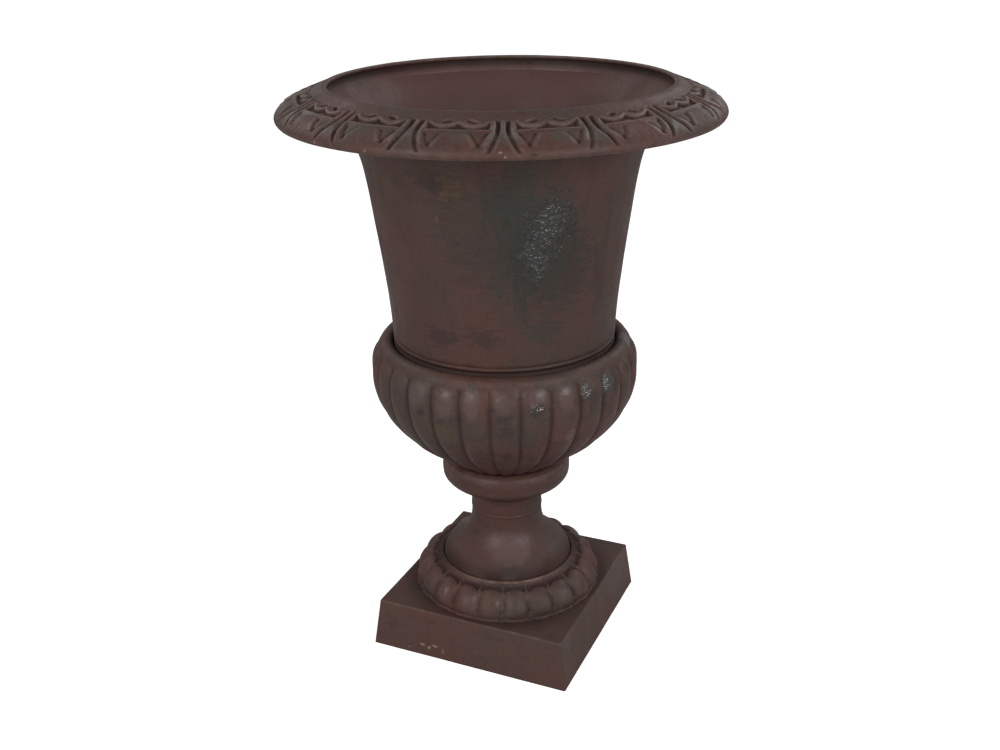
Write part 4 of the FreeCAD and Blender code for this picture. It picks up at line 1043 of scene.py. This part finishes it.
# %% Dull steel
# Old zinc-plated steel with rust creeping in from its hollows.
material, w, shader = new_material("dull_steel")
rust = w.fade(w.noise(w.place(), 160, 4, 0.65), 0.38, 0.66)
rust = w.math("MAXIMUM", rust, w.times(w.mark("hollow"), 0.8))
w.feed(shader.inputs["Base Color"], w.blend(rust, (0.3, 0.29, 0.27, 1), (0.11, 0.055, 0.03, 1)))
w.feed(shader.inputs["Metallic"], w.minus(1, rust))
w.feed(shader.inputs["Roughness"], w.fade(rust, 0, 1, 0.42, 0.75))
emboss(w, shader, use_group(w, GRAIN)["Height"], 0.4, 0.0002)
for piece in steel_pieces.values():
    piece.data.materials.append(material)
print("steel pieces", len(steel_pieces))

# %% [markdown]
# ## Studio
# A pale floor, a white surrounding, two wide soft lamps left and right of the camera and three weaker ones.
# Dark iron mostly shows what it reflects, so the lamps are large and close to even, and the floor stays
# bright under a soft contact shadow.

# %% Floor and world
FLOOR_HALF = 12
FLOOR_GREY, FLOOR_GLOW = 0.55, 0.84
COVERED_FROM, COVERED_TO = 0.095, 0.112

# The floor looks white to the camera and still takes the shadow, dark under the plinth.
mesh = bpy.data.meshes.new("floor")
corners = [(x * FLOOR_HALF, y * FLOOR_HALF, 0) for x, y in ((-1, -1), (1, -1), (1, 1), (-1, 1))]
mesh.from_pydata(corners, [], [(0, 1, 2, 3)])
floor = add_object("floor", mesh)
material, w, shader = new_material("pale_floor")
w.tree.nodes.remove(shader)
matt = w.node("ShaderNodeBsdfDiffuse")
matt.inputs["Color"].default_value = (FLOOR_GREY, FLOOR_GREY, FLOOR_GREY, 1)
ray = w.node("ShaderNodeLightPath")
seen = w.times(ray.outputs["Is Camera Ray"], FLOOR_GLOW)
open_floor = w.fade(w.vector("LENGTH", w.place()), COVERED_FROM, COVERED_TO)
glow = w.node("ShaderNodeEmission", {"Color": (1, 1, 1, 1), "Strength": w.times(seen, open_floor)})
both = w.node("ShaderNodeAddShader", {0: matt.outputs[0], 1: glow.outputs[0]})
w.feed(w.tree.nodes["Material Output"].inputs["Surface"], both.outputs[0])
mesh.materials.append(material)
floor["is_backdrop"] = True
print("floor", 2 * FLOOR_HALF, "m wide")

# The surrounding is an even grey that the camera sees as white.
world = bpy.data.worlds.new("studio")
world.use_nodes = True
w = Wiring(world.node_tree)
ray = w.node("ShaderNodeLightPath")
ground = w.tree.nodes["Background"]
ground.inputs["Color"].default_value = (1, 1, 1, 1)
w.feed(ground.inputs["Strength"], w.fade(ray.outputs["Is Camera Ray"], 0, 1, 0.36, 1))
bpy.context.scene.world = world
print("world", world.name)


# %% Lamps
CAMERA_SIDE = 24


def soft_lamp(name, turn, distance, height, aim, size, power):
    """A large square lamp, turned away from the camera's side and aimed at a height on the urn's axis."""
    angle = math.radians(CAMERA_SIDE + turn)
    place = Vector((distance * math.sin(angle), -distance * math.cos(angle), height))
    lamp = bpy.data.lights.new(name, "AREA")
    lamp.shape = "SQUARE"
    lamp.size = size
    lamp.energy = power
    thing = add_object(name, lamp)
    thing.location = place
    thing.rotation_euler = (Vector((0, 0, aim)) - place).to_track_quat("-Z", "Y").to_euler()
    print(name, power, "W")


for values in (("left_softbox", -40, 1.9, 1.2, 0.34, 0.9, 25),
               ("right_softbox", 42, 1.8, 1.1, 0.36, 0.7, 18),
               ("side_softbox", 80, 1.7, 1, 0.34, 0.4, 2),
               ("rear_right_softbox", 130, 1.8, 1.7, 0.5, 0.7, 10),
               ("rear_left_softbox", -130, 1.8, 1.7, 0.5, 0.7, 7)):
    soft_lamp(*values)

# %% [markdown]
# ## Camera
# The camera was found from the urn's own ellipses and the plinth's corners: it stands a good metre away, a
# little above the rim, turned 24 degrees round the urn, and it leans by about one degree.

# %% The camera
CAMERA_TURN = 23.8
FOCAL_PIXELS, IMAGE_WIDTH, SENSOR_WIDTH = 1168.06, 1000, 36
CAMERA_DISTANCE = 1.17058
CAMERA_HEIGHT = 0.79909
PITCH, YAW, ROLL = -22.918, -0.259, -0.95

turn, aim, tilt, lean = (Matrix.Rotation(math.radians(angle), 4, axis) for angle, axis in (
    (CAMERA_TURN, "Z"), (-YAW, "Z"), (90 + PITCH, "X"), (ROLL, "Z")))
camera = add_object("camera", bpy.data.cameras.new("camera"))
camera.data.sensor_width = SENSOR_WIDTH
camera.data.lens = FOCAL_PIXELS * SENSOR_WIDTH / IMAGE_WIDTH
camera.matrix_world = turn @ Matrix.Translation((0, -CAMERA_DISTANCE, CAMERA_HEIGHT)) @ aim @ tilt @ lean
bpy.context.scene.camera = camera
bpy.context.scene.view_settings.view_transform = "Standard"

# %% Sizes and the end
low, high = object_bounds()
print("visual box", [round(v, 4) for v in low], [round(v, 4) for v in high])
